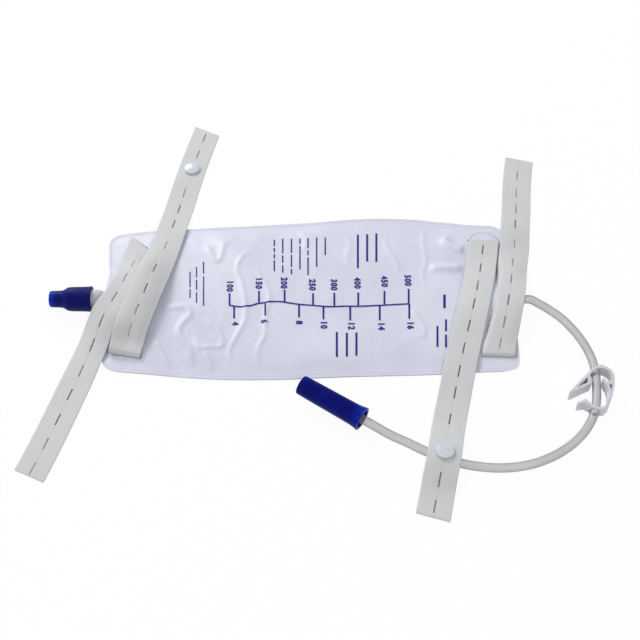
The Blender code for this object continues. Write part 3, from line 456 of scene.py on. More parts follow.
# %% Heights of a run, read from the solid
SHARES = [-1.0, -0.92, -0.75, -0.55, -0.35, -0.18, 0.18, 0.35, 0.55, 0.75, 0.92, 1.0]
SAFE_SHARE = 0.93  # heights are read no nearer to the cloth's edge than this
SAME_LAYER = 2.2 * MM  # the most that one layer rises from a row to the next


def tops_under(tree, x, y):
    """Heights of every face of the strap that looks up at this place of the plan."""
    found = []
    start = Vector((x, y, HIGH_UP))
    for _ in range(8):
        hit, normal, _, _ = tree.ray_cast(start, DOWN)
        if hit is None:
            break
        if normal.z > 0.2:
            found.append(hit.z)
        start = hit + DOWN * (0.05 * MM)
    return found


def heights_of(run, tree):
    """The strap's middle height for each mark and share, following the same layer from the free end."""
    half = STRAP_WIDTH / 2
    rows = []
    last = [None] * len(SHARES)
    for mark in run.marks():
        row = []
        for column, share in enumerate(SHARES):
            spot = run.spot(mark, max(-SAFE_SHARE, min(SAFE_SHARE, share)) * half)
            tops = tops_under(tree, spot.x, spot.y)
            near = last[column]
            if tops and near is None:
                near = min(tops)
            best = min(tops, key=lambda top: abs(top - near), default=None) if near is not None else None
            row.append(best if best is not None and abs(best - near) < SAME_LAYER else near)
        known = [height for height in row if height is not None] or [STRAP_THICK]
        row = [height if height is not None else sum(known) / len(known) for height in row]
        last = row
        rows.append(row)
    return smooth_rows(rows)


def smooth_rows(rows):
    """Each height averaged with those three rows before and after it."""
    found = []
    for number in range(len(rows)):
        near = rows[max(0, number - 3):number + 4]
        found.append([sum(row[column] for row in near) / len(near) - STRAP_THICK / 2
                      for column in range(len(SHARES))])
    return found


# %% Lay out a strap as rows
FOLD_BULGE = 1.9 * MM
FOLD_ROWS = 8
FOLD_LENGTH = 8 * MM  # of cloth that goes round a fold
BEHIND = STRAP_THICK / 2  # height of the cloth's middle behind the film
GROOVE = 0.22 * MM  # how far the cloth dips at a slit
GROOVE_FLOOR = 0.25 * MM  # half the width of its floor
GROOVE_LIP = 0.65 * MM  # half the width between its lips
NO_SLIT = 11 * MM  # a distance from any slit at which its mark has ended


def laid(run, heights):
    """Rows of (place, across, along, distance to the nearest slit) down to the fold."""
    half = STRAP_WIDTH / 2
    rows = []
    for mark, tops in zip(run.marks(), heights):
        away = min([abs(mark - place) for place in run.slits] + [NO_SLIT])
        open_share = max(0.0, 1 - (away / SLIT_HALF) ** 2)
        row = []
        middle_height = (tops[5] + tops[6]) / 2
        spots = [(share * half, top) for share, top in zip(SHARES, tops)]
        floor_height = middle_height - GROOVE * open_share
        spots[6:6] = [(-GROOVE_LIP, middle_height), (-GROOVE_FLOOR, floor_height),
                      (GROOVE_FLOOR, floor_height), (GROOVE_LIP, middle_height)]
        for across, top in spots:
            spot = run.spot(mark, across)
            along = mark + across * math.tan(run.skew(mark))
            row.append((Vector((spot.x, spot.y, top)), across, along, away))
        rows.append(row)
    return rows


def folded(rows, run):
    """The rows round the slot's edge, from the last laid row to behind the film."""
    line = rows[-1][-1][0] - rows[-1][0][0]
    line.z = 0
    line.normalize()
    out = run.centre(run.length) - run.centre(run.length - 5 * MM)
    out.z = 0
    out = (out - line * out.dot(line)).normalized()
    found = []
    for number in range(1, FOLD_ROWS):
        turn = math.pi * number / FOLD_ROWS
        row = []
        for place, across, along, _ in rows[-1]:
            deep = place.z - BEHIND
            spot = place + out * FOLD_BULGE * math.sin(turn)
            spot.z = (place.z + BEHIND) / 2 + deep / 2 * math.cos(turn)
            row.append((spot, across, along + deep * number / FOLD_ROWS, NO_SLIT))
        found.append(row)
    return found


def behind(first, second):
    """Rows of the straight length behind the film, from one fold to the other."""
    length = (first[6][0] - second[6][0]).length
    count = math.ceil(length / (3 * MM))
    rows = []
    for number in range(count + 1):
        t = number / count
        row = []
        for (a, across, along, _), (b, _, _, _) in zip(first, second):
            spot = a.lerp(b, t)
            spot.z = BEHIND
            row.append((spot, across, along + FOLD_LENGTH + length * t, NO_SLIT))
        rows.append(row)
    return rows


# %% Make a strap
def strap_piece(name, node, first, second):
    tree = mesh_tree(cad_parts[node])
    first_rows = laid(first, heights_of(first, tree))
    second_rows = laid(second, heights_of(second, tree))
    rows = first_rows + folded(first_rows, first) + behind(first_rows[-1], second_rows[-1])
    rows += folded(second_rows, second)[::-1] + second_rows[::-1]
    bm = bmesh.new()
    cloth = bm.loops.layers.uv.new("cloth")
    slit = bm.loops.layers.uv.new("slit")
    grid = [[bm.verts.new(entry[0]) for entry in row] for row in rows]
    wide = len(grid[0])
    for number in range(len(grid) - 1):
        for column in range(wide - 1):
            entries = [(number, column), (number, column + 1), (number + 1, column + 1), (number + 1, column)]
            face = bm.faces.new([grid[r][c] for r, c in entries])
            for loop, (r, c) in zip(face.loops, entries):
                _, across, along, away = rows[r][c]
                loop[cloth].uv = (across, along)
                loop[slit].uv = (across, away)
    if sum(face.normal.z for face in bm.faces[:200]) < 0:
        bmesh.ops.reverse_faces(bm, faces=bm.faces)
    piece = piece_from(bm, name)
    thick = piece.modifiers.new("thickness", "SOLIDIFY")
    thick.thickness = STRAP_THICK
    thick.offset = 0.0
    thick.edge_crease_rim = 0.6
    apply_all(piece)
    subdivide(piece, 1)
    shade(piece, 60)
    print(name, "rows", len(rows), "faces", len(piece.data.polygons))
    return piece


bottom_elastic = strap_piece("bottom_elastic", "bottom_strap", LOWER_LEFT, UPPER_LEFT)
top_elastic = strap_piece("top_elastic", "top_strap", UPPER_RIGHT, LOWER_RIGHT)

# %% [markdown]
# The knit shows about sixteen wales across the strap, a faint line down its middle where the slits are,
# and smooth edges. Each wale is a low ridge, and the hollow beside it is painted a little darker as shade.
# The slits lie closed, as shallow grooves, and the shade inside them is painted as a dark grey, deeper in
# some than in others. That reads as a row of grey dashes.

# %% The straps' finish
WALE = 1.5 * MM
knit = Finish("knitted_elastic", Roughness=0.82, IOR=1.45)
knit.set(Sheen_Weight=0.25, Sheen_Roughness=0.5)
across, along, _ = knit.split(knit.add("UVMap", {"uv_map": "cloth"}))
off_middle, off_slit, _ = knit.split(knit.add("UVMap", {"uv_map": "slit"}))
off_middle = abs(off_middle)
wales = across.wave(WALE)
courses = along.wave(0.9 * MM)
inner = 1 - off_middle.step(10.6 * MM, 11.4 * MM)
in_slit = (1 - off_middle.step(0.4 * MM, 0.8 * MM)) * (1 - off_slit.step(SLIT_HALF, SLIT_HALF + 0.7 * MM))
middle_line = 1 - off_middle.step(0.3 * MM, 1.0 * MM)
dirt = knit.noise(40.0, 4.0, 0.4)
threads = knit.noise(600.0, 2.0)
# how deep the painted shade in the slits is, varying along the strap
slit_shade_spread = knit.noise(22.0, 1.0).step(0.38, 0.6)
# painted shade in the hollows between wales, with the middle line, random tone and threads
hollow_shade_and_tone = (1 - wales) * inner * 0.15 + middle_line * 0.16 + dirt * 0.34 + threads * 0.04
ground = knit.blend(hollow_shade_and_tone, srgb(213, 214, 215), srgb(176, 178, 181))
# the slits' dark grey is painted shade in their closed grooves
knit.set(
    Base_Color=knit.blend(in_slit * (slit_shade_spread * 0.45 + 0.55), ground, srgb(84, 86, 89)),
    Normal=knit.bump(
        wales * inner * 0.22 + courses * 0.03 + threads * 0.04 - in_slit * 0.6, 0.2 * MM, 0.6))

for strap, node, length in ((bottom_elastic, "bottom_strap", 0.617), (top_elastic, "top_strap", 0.618)):
    strap.data.materials.append(knit.material)
    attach(strap, "bag")
    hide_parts(node)
print("straps made")

# %% [markdown]
# ## Film of the bag
# Front and back are thin milky vinyl, welded together round the edge. The empty bag isn't flat: the film
# keeps long soft folds and fine wandering creases that catch the light. The broadest are in the solid
# already. The copy is subdivided, its upper side once more, and the narrower folds and creases are added
# by moving both faces of the film together. Where a strap, a port or the weld holds it, it stays.

# %% Distance from the rim, kept on every point
neighbours = mesh_tree(*(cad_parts[node] for node in (
    "top_strap", "bottom_strap", "outlet_port", "inlet_port", "inlet_tube", "twist_valve",
    "bottom_button", "connector_cap", "reflux_valve")))


OUTER_SHARE = 0.94  # edges nearer the middle than this share of the reach are the slots' own
SECTORS = 12  # to a radian, in which the reach is taken


def rim_points(piece):
    """Points close together along the outer edge of a film."""
    found = []
    for face in piece.data.polygons:
        if abs(face.normal.z) < 0.4 and face.area > 0:
            corners = [piece.data.vertices[index].co for index in face.vertices]
            for first, second in zip(corners, corners[1:] + corners[:1]):
                steps = max(1, int((second - first).length / MM))
                found += [first.lerp(second, step / steps) for step in range(steps)]
    middle = sum(found, Vector()) / len(found)
    arms = [point - middle for point in found]
    keys = [round(math.atan2(arm.y * 2, arm.x) * SECTORS) for arm in arms]
    reach = {}
    for arm, key in zip(arms, keys):
        reach[key] = max(reach.get(key, 0.0), arm.length)
    found = [point for point, arm, key in zip(found, arms, keys) if arm.length > OUTER_SHARE * reach[key]]
    tree = KDTree(len(found))
    for index, point in enumerate(found):
        tree.insert(Vector((point.x, point.y, 0)), index)
    tree.balance()
    return tree


# %% Folds and creases of the film
FOLDS = [  # points on the plan, then height and half width, all in mm
    ([(-51.9, 76.2), (-63, 63.5), (-67.2, 49.4), (-63.6, 37.2), (-60.1, 20.7), (-58.4, 7.4),
      (-59, -5.6), (-64, -18.4), (-68.8, -32.3), (-69.3, -41.9), (-69.3, -52.6)], 0.9, 2.4),
    ([(-55.5, 47.9), (-52.1, 51), (-48.3, 41.8), (-43.4, 32.6), (-40.2, 20.7), (-41.7, 8.9),
      (-42.4, -2.8), (-43, -18.4), (-47, -30.8), (-47.7, -43.2), (-45.1, -54.2)], 0.8, 2.4),
    ([(-94.4, 79.4), (-90.2, 68.2), (-84.9, 58.8), (-81.6, 61.9), (-79, 78), (-75.7, 84.3)], 1.0, 3.2),
    ([(-126.4, 6.3), (-114.6, 8.9), (-105.6, 8.3), (-101.8, 1.6), (-104.7, -3.9), (-108.6, -10.5),
      (-109.1, -18.4), (-105.3, -25.3), (-100.4, -32.3), (-97.6, -41.9), (-95.7, -52.6)], 1.5, 3.4),
    ([(-91.6, 0.2), (-86.7, -6.9), (-78.4, -15.5), (-75.2, -25.3), (-76.5, -29.5), (-83.1, -29.5),
      (-91.8, -30.8), (-95.5, -23.9), (-94.9, -18.4)], 0.9, 2.6),
    ([(-88.4, -32.3), (-84.5, -41.9), (-83, -49.9), (-85.6, -56.1)], 0.8, 2.6),
    ([(-127.4, -22.6), (-121.4, -33.6), (-114.9, -46.3), (-112.1, -53.3)], 1.0, 2.2),
    ([(99.5, 85.9), (103.4, 81.3), (106.3, 75.7), (112.3, 70.9), (121.4, 69)], 2.6, 5.5),
    ([(87.5, 51.4), (97.1, 49.3), (106.8, 49.3), (119.8, 49.3)], 2.4, 5.0),
    ([(88.8, 100.8), (85.1, 80.7), (86.1, 59.1), (83, 43.9), (84.2, 27.1)], 0.6, 2.4),
    ([(52, 86.7), (55.8, 70.8), (62.3, 55.4), (62.6, 43.9)], 0.7, 2.4),
    ([(71.4, 9), (76.4, -1.6), (80.6, -12.2), (79.4, -19.1), (72.8, -17.4)], 0.8, 2.6),
    ([(20, 89.3), (24.7, 76.8), (22, 62.4), (25.9, 49.3)], 0.5, 3.0),
    ([(-16.7, 96.2), (-11.6, 82.5), (-13.9, 66.8)], 0.5, 3.0),
]
FOLD_TIGHTNESS = 0.8
folds = []
for points, height, wide in FOLDS:
    line, lengths = smooth_path([plan(*point) for point in points])
    fold_tree = KDTree(len(line))
    for index, point in enumerate(line):
        fold_tree.insert(point, index)
    fold_tree.balance()
    shares = [length / lengths[-1] for length in lengths]
    tapers = [rise(share, 0, 0.2) * (1 - rise(share, 0.8, 1)) for share in shares]
    folds.append((fold_tree, tapers, height * MM, FOLD_TIGHTNESS * wide * MM))


def fold_height(x, y):
    """Height of the folds seen on the bag here, the highest one counting."""
    top = 0.0
    for fold_tree, tapers, height, wide in folds:
        _, index, off = fold_tree.find(Vector((x, y, 0)))
        if off < 3 * wide:
            top = max(top, height * tapers[index] * math.exp(-(off / wide) ** 2))
    return top


def crease_height(x, y):
    """Fine folds: thin wandering ridges where slow noise crosses zero, over a gentle swell."""
    spot = Vector((x, y, 0.0))
    sideways = noise.noise(spot * 14 + Vector((3, 0, 0)))
    drift = Vector((sideways, noise.noise(spot * 14 + Vector((0, 7, 0))), 0))
    ridge = noise.noise(spot * 17 + drift * 1.5)
    fine = noise.noise(spot * 34 + drift * 2.2 + Vector((5, 5, 0)))
    swell = noise.noise(spot * 24 + Vector((9, 1, 0)))
    return (0.2 * math.exp(-(ridge / 0.14) ** 2) + 0.06 * math.exp(-(fine / 0.2) ** 2) + 0.3 * swell) * MM


NEIGHBOUR_REACH = 20 * MM


def wrinkle(piece, tree, strength):
    """Lifts the film where nothing holds it, and keeps each point's distance from the rim."""
    rims = piece.data.attributes.new("rim", "FLOAT", "POINT")
    for vert in piece.data.vertices:
        x, y = vert.co.x, vert.co.y
        rim = tree.find(Vector((x, y, 0)))[2]
        held = neighbours.find_nearest(vert.co, NEIGHBOUR_REACH)[3]
        free = rise(rim, 3 * MM, 14 * MM)
        if held is not None:
            free *= rise(held, 0.8 * MM, 7 * MM)
        vert.co.z += strength * free * (crease_height(x, y) + fold_height(x, y))
        rims.data[vert.index].value = rim


# %% Split the upper side once more
def split_upper_side(piece):
    """Halves the faces that look up, so that narrow folds come out crisp. The hidden side stays coarse."""
    select_only(piece)
    bpy.ops.object.mode_set(mode="EDIT")
    bpy.ops.mesh.select_mode(type="FACE")
    bpy.ops.mesh.select_all(action="DESELECT")
    bpy.ops.object.mode_set(mode="OBJECT")
    for face in piece.data.polygons:
        face.select = face.normal.z > 0.5
    bpy.ops.object.mode_set(mode="EDIT")
    bpy.ops.mesh.subdivide(number_cuts=1)
    bpy.ops.mesh.select_mode(type="VERT")
    bpy.ops.object.mode_set(mode="OBJECT")


# %% Make both films
front_skin = merged_copy("front_film", "front_skin", pair=40)
rim_tree = rim_points(front_skin)
crease_edges(front_skin, 50, 1.0)
subdivide(front_skin, 2)
split_upper_side(front_skin)
wrinkle(front_skin, rim_tree, 1.0)
shade(front_skin, 50)
back_skin = merged_copy("back_film", "back_skin", pair=40)
back_tree = rim_points(back_skin)
crease_edges(back_skin, 50, 1.0)
subdivide(back_skin, 1)
wrinkle(back_skin, back_tree, 0.0)
shade(back_skin, 50)
print("front film", len(front_skin.data.polygons), "faces")

# %% [markdown]
# The film's colour is a pale lavender white, and its gloss is soft. Faint cloudy streaks are painted paler
# as highlights. The weld shows as a flat band along the rim with a fine line at its inner edge, and a ring
# is pressed into the film round the upper slot at the inlet end.

# %% The film's finish
RING = 12 * MM
film = Finish("milky_film", IOR=1.4, Specular_IOR_Level=0.27)
rim = film.add("Attribute", {"attribute_name": "rim"}, output=2)
weld_line = 1 - abs(rim - 2.6 * MM).step(0.2 * MM, 0.8 * MM)
weld = 1 - rim.step(2.4 * MM, 3.0 * MM)
tint = film.noise(16.0, 3.0, 0.8)
streaks = film.noise(26.0, 4.0, 1.6)
fold_light = film.noise(55.0, 3.0, 1.2)
colour = film.blend(tint.step(0.3, 0.7), srgb(212, 213, 230), srgb(219, 220, 235))
# paler cloudy streaks painted on as highlights
colour = film.blend(streaks.step(0.52, 0.75) * 0.4, colour, srgb(226, 227, 240))
x, y, _ = film.place()
middle = LOWER_RIGHT.centre(LOWER_RIGHT.length)
right = x - middle.x
up = y - middle.y
reach = film.add("Math", {"operation": "SQRT"}, {0: right * right + up * up})
ring = 1 - abs(reach - RING).step(0.4 * MM, 1.5 * MM)
colour = film.blend(weld_line * 0.14 + weld * 0.06 + ring * 0.2, colour, srgb(168, 170, 188))
film.set(
    Base_Color=colour,
    Roughness=streaks * 0.14 + 0.28,
    Normal=film.bump(
        streaks * 0.4 + fold_light * 0.1 - weld_line * 0.3 + ring * 2.2, 0.7 * MM, 0.4))

for skin, node in ((front_skin, "front_film"), (back_skin, "back_film")):
    skin.data.materials.append(film.material)
    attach(skin, "bag")
    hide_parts(node)
print("films made")

# %% [markdown]
# ## Print
# The print is ink on the front film: a scale with a line that wavers, short strokes with plain numbers,
# and blocks of small words, which are left as plain bars. Every place was found by looking along a line
# from the camera to the film, so that a mark lands on it at any height, and each mark is then laid on
# the film point by point.

# %% Put marks on the film
front_tree = mesh_tree(front_skin)
INK_ABOVE = 0.3 * MM
DRAWN_AT = 20 * MM  # height at which marks are drawn, before they are laid down
PICTURE = 640  # places across the picture, and down it
FOCAL = camera_data.lens / camera_data.sensor_width * PICTURE
view_axis = Vector((0, math.cos(ELEVATION), -math.sin(ELEVATION)))
view_up = Vector((0, math.sin(ELEVATION), math.cos(ELEVATION)))


def seen(u, v):
    """The point of the film at this place of the picture."""
    ray = view_axis * FOCAL + Vector((1, 0, 0)) * (u - PICTURE / 2) + view_up * (PICTURE / 2 - v)
    return front_tree.ray_cast(camera.location, ray.normalized())[0]


def lay_on_film(piece):
    """Drops a flat piece on the film, each point straight down."""
    for vert in piece.data.vertices:
        hit = front_tree.ray_cast(Vector((vert.co.x, vert.co.y, HIGH_UP)), DOWN)[0]
        if hit is not None:
            vert.co.z = hit.z + INK_ABOVE


# %% Strokes of ink
def stroke_mesh(bm, points, width):
    """Adds a flat line of this width through the points."""
    pairs = []
    for index, point in enumerate(points):
        ahead = points[min(len(points) - 1, index + 1)] - points[max(0, index - 1)]
        side = Vector((-ahead.y, ahead.x, 0)).normalized() * width / 2
        flat = Vector((point.x, point.y, DRAWN_AT))
        pairs.append((bm.verts.new(flat - side), bm.verts.new(flat + side)))
    for (a, b), (c, d) in zip(pairs, pairs[1:]):
        bm.faces.new((a, c, d, b))


def spaced(first, last, pitch):
    steps = max(1, math.ceil((last - first).length / pitch))
    return [first.lerp(last, step / steps) for step in range(steps + 1)]


# %% The scale
SCALE_LINE = [(229.5, 305.4), (236, 306.6), (243, 306.8), (250, 306), (258, 303.6), (266, 302.3),
              (274, 301.6), (281, 301.8), (290, 303.2), (300, 304.6), (313, 305.6), (325, 306.7),
              (334, 306.8), (345, 306.3), (358, 306.5), (370, 306), (384, 305.3), (396, 304.6), (409, 304)]
UPPER = [(229.5, 293.3, 305.5), (259, 291, 303.5), (284.6, 290, 302.5), (313, 293.4, 305.5),
         (334.3, 293, 306.8), (358.2, 292.6, 306.3), (384.4, 291, 305.3), (408.6, 289, 304)]
LOWER = [(234.1, 306.5, 318.6), (265.2, 302.5, 315.7), (299, 304.6, 317.5), (323.4, 306.6, 319.5),
         (350.2, 306.5, 320.5), (379.7, 305.6, 320.5), (409.2, 304, 319)]
LINE = 1.4 * MM
bm = bmesh.new()
knots = [seen(u, v) for u, v in SCALE_LINE]
line = [point for first, last in zip(knots, knots[1:]) for point in spaced(first, last, MM)[:-1]]
stroke_mesh(bm, line + [knots[-1]], LINE)
for u, start, end in UPPER + LOWER:
    stroke_mesh(bm, spaced(seen(u, start), seen(u, end), MM), LINE)
print_scale = piece_from(bm, "print_scale")
lay_on_film(print_scale)
print("scale strokes", len(print_scale.data.polygons))

# %% Numbers beside the scale
NUMBERS = [("100", 229.7, 286.2), ("150", 258.6, 283.3), ("200", 283.7, 283.1), ("250", 312, 284.9),
           ("300", 333.6, 284.7), ("400", 357.1, 283.2), ("450", 384.1, 281.4), ("500", 407.5, 280.5),
           ("4", 235, 323.7), ("6", 264, 321.3), ("8", 298.9, 322.6), ("10", 323.5, 324.9),
           ("12", 351.1, 325.9), ("14", 381, 326.3), ("16", 410.2, 325.4)]
DIGIT_SIZE = 6.9 * MM


def number(text, u, v):
    """A number that is upright when the inlet end is up, thickened and made a mesh in place."""
    middle = seen(u, v)
    bpy.ops.object.text_add(location=(middle.x, middle.y, DRAWN_AT), rotation=(0, 0, -math.pi / 2))
    piece = bpy.context.object
    piece.data.body = text
    piece.data.align_x = "CENTER"
    piece.data.align_y = "CENTER"
    piece.data.size = DIGIT_SIZE
    piece.data.offset = 0.3 * MM
    piece.data.space_character = 1.18
    piece.data.resolution_u = 3
    select_only(piece)
    bpy.ops.object.convert(target="MESH")
    bpy.ops.object.transform_apply(location=True, rotation=True, scale=True)
    return piece


digits = [number(*entry) for entry in NUMBERS]
bpy.ops.object.select_all(action="DESELECT")
for digit in digits:
    digit.select_set(True)
bpy.context.view_layer.objects.active = digits[0]
bpy.ops.object.join()
print_numbers = bpy.context.object
print_numbers.name = "print_numbers"
print_numbers.data.name = "print_numbers"
bpy.ops.object.mode_set(mode="EDIT")
bpy.ops.mesh.select_all(action="SELECT")
bpy.ops.mesh.quads_convert_to_tris()
bpy.ops.mesh.subdivide(number_cuts=2)
bpy.ops.object.mode_set(mode="OBJECT")
lay_on_film(print_numbers)
print("numbers", len(NUMBERS))

# %% [markdown]
# The blocks of words are left as what the eye takes from them at arm's length: rows of short plain
# bars, in groups as long as words.

# %% Rows of bars in place of words
BAR_SHARE = 0.36  # of a line's height
BAR_GAP = 0.9  # in the unit of the bars' lengths
WORDS = [  # line's middle u, start v, end v, bar height in mm, lengths of its bars
    (376.3, 233.5, 262, 4.3, (7,)), (367.1, 234.4, 261.6, 4.3, (6,)), (357.8, 234.8, 268.3, 4.3, (11,)),
    (325.2, 237.6, 255.2, 2.9, (9,)), (316.6, 237.6, 267, 2.9, (10,)),
    (308, 238.4, 275.1, 2.9, (4, 2, 7)), (299.9, 238.8, 269.4, 2.9, (2, 9)),
    (291.4, 238.8, 274.3, 2.9, (6, 5, 2)), (282.7, 238.8, 272.8, 2.9, (6, 3, 3)),
    (274.3, 239.9, 271.3, 2.9, (3, 2, 2, 5)),
    (356.4, 332.6, 355.8, 4.3, (6,)), (346.8, 333, 356.7, 4.3, (6,)), (336.8, 332.1, 357.1, 4.3, (6,)),
    (444.4, 294.8, 308.2, 5.2, (3,)), (445.9, 319.5, 347.3, 4.0, (3, 3)), (437.4, 326, 347, 4.0, (5,)),
    (203.5, 262, 306, 2.4, (4, 10)), (196.5, 267, 303, 2.4, (4, 4, 4)), (190, 272, 298, 2.4, (7, 4)),
]


def word_bars(bm, u, start, end, height, lengths):
    """One line of a block: a plain bar for each length, with gaps between."""
    first = seen(u, start)
    ahead = seen(u, end) - first
    ahead.z = 0
    unit = ahead / (sum(lengths) + BAR_GAP * (len(lengths) - 1))
    place = 0.0
    for length in lengths:
        bar = spaced(first + unit * place, first + unit * (place + length), MM)
        stroke_mesh(bm, bar, height * BAR_SHARE * MM)
        place += length + BAR_GAP


bm = bmesh.new()
for entry in WORDS:
    word_bars(bm, *entry)
print_words = piece_from(bm, "print_words")
lay_on_film(print_words)
print("word bars", len(print_words.data.polygons))

# %% The ink
ink = Finish("ink", Roughness=0.5, IOR=1.3)
spread = ink.noise(700.0, 3.0)
ink.set(
    Base_Color=ink.blend(spread.step(0.35, 0.75), srgb(34, 22, 124), srgb(52, 40, 148)),
    Normal=ink.bump(spread, 0.02 * MM, 0.5))
for piece in (print_scale, print_numbers, print_words):
    piece.data.materials.clear()
    piece.data.materials.append(ink.material)
    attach(piece, "bag")

# %% [markdown]
# ## Moulded pieces
# The drain valve, its neck, the cap and the buttons are turned shapes. Their solids have twenty to
# thirty flat sides, which show in a close view, so each gets a subdivided skin that keeps its hard
# edges.


# %% Skins of the moulded pieces
def moulded(node, name, body):
    piece = merged_copy(node, name)
    crease_edges(piece, 30, 0.85)
    subdivide(piece, 2)
    shade(piece, 35)
    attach(piece, body)
    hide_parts(node)
    return piece


valve_skin = moulded("twist_valve", "valve_skin", "valve_sleeve")
cap_skin = moulded("connector_cap", "cap_skin", "cap")
port_skin = moulded("outlet_port", "port_skin", "bag")
button_skins = [moulded(node, node + "_skin", "bag")
                for node in ("bottom_button", "top_button")]
print("valve", len(valve_skin.data.polygons), "faces")

# %% [markdown]
# The valve is satin navy plastic with fine ribs along it for the fingers. They fade before the nozzle,
# where light coming through the thinner wall makes it a brighter blue.

# %% The valve's finish
AXIS_Y = (low.y + high.y) / 2
AXIS_Z = (low.z + high.z) / 2
navy = Finish("navy_plastic", IOR=1.2, Specular_IOR_Level=0.35)
x, y, z = navy.place()
RIBS = 44
turn = navy.add("Math", {"operation": "ARCTAN2"}, {0: y - AXIS_Y, 1: z - AXIS_Z})
ribs = turn.wave(math.tau / RIBS)
body = (x - low.x).step(17 * MM, 21 * MM)
tip = 1 - (x - low.x).step(0.5 * MM, 6.5 * MM)
scuff = navy.noise(160.0, 4.0, 0.3)
base = navy.blend(scuff * 0.5, srgb(12, 20, 98), srgb(16, 27, 112))
base = navy.blend(ribs * body * 0.25, base, srgb(6, 8, 48))
navy.set(
    Base_Color=navy.blend(tip * 0.8, base, srgb(14, 52, 190)),
    Roughness=scuff * 0.15 + 0.34,
    Normal=navy.bump(ribs * body * 0.6 + scuff * 0.06, 0.22 * MM, 0.8))
valve_skin.data.materials.append(navy.material)

# %% [markdown]
# The cap is the same navy in a softer, glossier vinyl, mottled by a slight bloom. Its mouth is painted a
# brighter blue, as light coming through the wall there.

# %% The cap's finish
sheath = Finish("navy_sheath", IOR=1.16, Specular_IOR_Level=0.4)
bloom = sheath.noise(70.0, 3.0, 0.6)
x, y, _ = sheath.place()
toward = (x - CAP_MOUTH.x) * CAP_INWARD.x + (y - CAP_MOUTH.y) * CAP_INWARD.y
# towards the mouth a brighter blue is painted, as light coming through the wall there
mouth = 1 - toward.step(2 * MM, 9 * MM)
base = sheath.blend(bloom.step(0.35, 0.7), srgb(10, 15, 102), srgb(14, 25, 120))
sheath.set(
    Base_Color=sheath.blend(mouth * 0.8, base, srgb(7, 34, 152)),
    Roughness=0.28 - mouth * 0.06 + bloom * 0.06,
    Normal=sheath.bump(bloom, 0.25 * MM, 0.35))
cap_skin.data.materials.append(sheath.material)

# %% [markdown]
# The neck between valve and film is thick frosted vinyl. The clamp and the buttons are white plastic.

# %% Neck, clamp and buttons
frosted = Finish("frosted_vinyl", Roughness=0.36, IOR=1.4, Coat_Weight=0.1, Coat_Roughness=0.15)
haze = frosted.noise(80.0, 3.0, 0.8)
edge = frosted.add("LayerWeight", None, {"Blend": 0.3}, output=1)
frosted.set(
    Base_Color=frosted.blend(haze.step(0.3, 0.75), srgb(198, 201, 214), srgb(216, 216, 230)),
    Alpha=edge * 0.3 + 0.8,
    Normal=frosted.bump(haze, 0.2 * MM, 0.3))
port_skin.data.materials.append(frosted.material)
white = Finish("white_plastic", Roughness=0.3, IOR=1.5, Coat_Weight=0.2, Coat_Roughness=0.1)
grain = white.noise(260.0, 3.0)
white.set(
    Base_Color=white.blend(grain.step(0.3, 0.8), srgb(206, 207, 214), srgb(220, 220, 226)),
    Normal=white.bump(grain, 0.06 * MM, 0.35))
glossy = Finish("button_white", Roughness=0.24, IOR=1.5, Coat_Weight=0.3, Coat_Roughness=0.08)
scuffs = glossy.noise(320.0, 3.0)
glossy.set(
    Base_Color=glossy.blend(scuffs.step(0.3, 0.8), srgb(206, 209, 220), srgb(216, 219, 228)),
    Normal=glossy.bump(scuffs, 0.04 * MM, 0.3))
for button in button_skins:
    button.data.materials.append(glossy.material)

# %% Round the clamp's edges
clamp_skin = merged_copy("pinch_clamp", "clamp_skin", pair=1)
select_only(clamp_skin)
bpy.ops.object.mode_set(mode="EDIT")
bpy.ops.mesh.select_all(action="SELECT")
bpy.ops.mesh.dissolve_limited(angle_limit=math.radians(1))
bpy.ops.object.mode_set(mode="OBJECT")
modifier = clamp_skin.modifiers.new("edges", "BEVEL")
modifier.width = 0.35 * MM
modifier.segments = 2
modifier.limit_method = "ANGLE"
modifier.angle_limit = math.radians(50)
modifier.use_clamp_overlap = True
apply_all(clamp_skin)
shade(clamp_skin, 35)
clamp_skin.data.materials.append(white.material)
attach(clamp_skin, "bag")
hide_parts("pinch_clamp")
print("clamp", len(clamp_skin.data.polygons), "faces")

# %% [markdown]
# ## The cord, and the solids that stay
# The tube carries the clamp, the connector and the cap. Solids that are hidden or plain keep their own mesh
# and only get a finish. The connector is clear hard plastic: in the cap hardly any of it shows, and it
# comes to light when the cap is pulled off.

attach(inlet_tubing, "bag")
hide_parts("inlet_tube")

# %% Finishes of the solids that stay
rubber = Finish("seal_rubber", Roughness=0.7)
dust = rubber.noise(300.0, 3.0)
rubber.set(
    Base_Color=rubber.blend(dust, srgb(40, 40, 42), srgb(62, 62, 64)),
    Normal=rubber.bump(dust, 0.05 * MM, 0.5))
clear = Finish("clear_connector", Roughness=0.15, IOR=1.45)
haze = clear.noise(120.0, 2.0)
clear.set(
    Base_Color=clear.blend(haze.step(0.3, 0.7), srgb(196, 200, 208), srgb(210, 213, 220)),
    Alpha=haze * 0.1 + 0.26,
    Normal=clear.bump(haze, 0.04 * MM, 0.3))
STAYING = {"reflux_valve": vinyl, "inlet_port": frosted, "catheter_connector": clear, "valve_stem": white,
           "valve_o_ring": rubber, "bottom_button_back": white, "top_button_back": white}
for node, finish in STAYING.items():
    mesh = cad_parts[node].data
    mesh.materials.clear()
    mesh.materials.append(finish.material)
print("solids that stay:", len(STAYING))

# %% [markdown]
# ## Floor and light
# The bag lies on white paper in even light from all round, so it hardly has a shadow. A large soft lamp
# behind and to the left draws the highlights along the film's folds, and weaker ones fill from the left
# and the front.

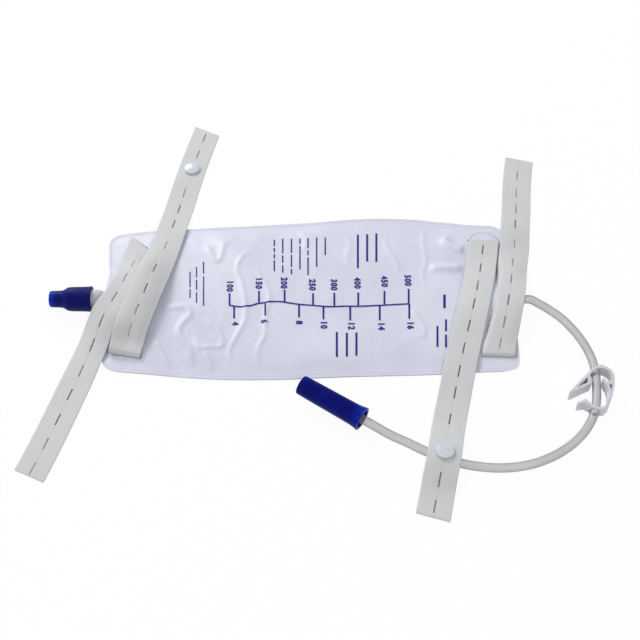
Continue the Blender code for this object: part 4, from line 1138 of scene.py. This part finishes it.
# %% Floor
bpy.ops.mesh.primitive_plane_add(size=6, location=(0, 0, 0))
floor = bpy.context.object
floor.name = "floor"
paper = Finish("paper", Roughness=1.0, Base_Color=(0.93, 0.93, 0.93))
paper.shader.inputs["Specular IOR Level"].default_value = 0.0
rays = paper.add("LightPath").socket.node
seen_ray = Wire(paper, rays.outputs["Is Camera Ray"]) + Wire(paper, rays.outputs["Is Glossy Ray"])
seen_ray = seen_ray + Wire(paper, rays.outputs["Is Transmission Ray"])
glow = paper.add("Emission", None, {"Color": (1.0, 1.0, 1.0), "Strength": 1.0})
share = paper.add("Math", {"operation": "MINIMUM"}, {0: seen_ray * 0.95, 1: 0.95})
mixed = paper.add("MixShader", None, {0: share, 1: Wire(paper, paper.shader.outputs[0]), 2: glow})
paper.tree.links.new(mixed.socket, paper.tree.nodes["Material Output"].inputs["Surface"])
floor.data.materials.append(paper.material)

# %% World and lamps
world = bpy.data.worlds.new("room")
bpy.context.scene.world = world
world.use_nodes = True
tree = world.node_tree
room = tree.nodes["Background"]
room.inputs["Color"].default_value = (1.0, 1.0, 1.0, 1.0)
room.inputs["Strength"].default_value = 0.47
paths = tree.nodes.new("ShaderNodeLightPath")
bright = tree.nodes.new("ShaderNodeBackground")
bright.inputs["Color"].default_value = (1.0, 1.0, 1.0, 1.0)
pick = tree.nodes.new("ShaderNodeMixShader")
tree.links.new(paths.outputs["Is Camera Ray"], pick.inputs[0])
tree.links.new(room.outputs[0], pick.inputs[1])
tree.links.new(bright.outputs[0], pick.inputs[2])
tree.links.new(pick.outputs[0], tree.nodes["World Output"].inputs["Surface"])


def lamp(name, place, aim, size, power):
    light = bpy.data.lights.new(name, "AREA")
    light.shape = "RECTANGLE"
    light.size, light.size_y = size
    light.energy = power
    piece = bpy.data.objects.new(name, light)
    bpy.context.scene.collection.objects.link(piece)
    piece.location = place
    piece.rotation_euler = (Vector(aim) - Vector(place)).to_track_quat("-Z", "Y").to_euler()


lamp("softbox_behind", (-1.4, 2.3, 1.7), (0, 0, 0), (1.8, 1.0), 64)
lamp("softbox_left", (-2.6, -0.4, 1.9), (0, 0, 0), (0.6, 1.4), 14)
lamp("softbox_front", (1.2, -2.2, 2.8), (0, 0, 0), (1.4, 1.0), 22)
bpy.context.scene.view_settings.view_transform = "Standard"
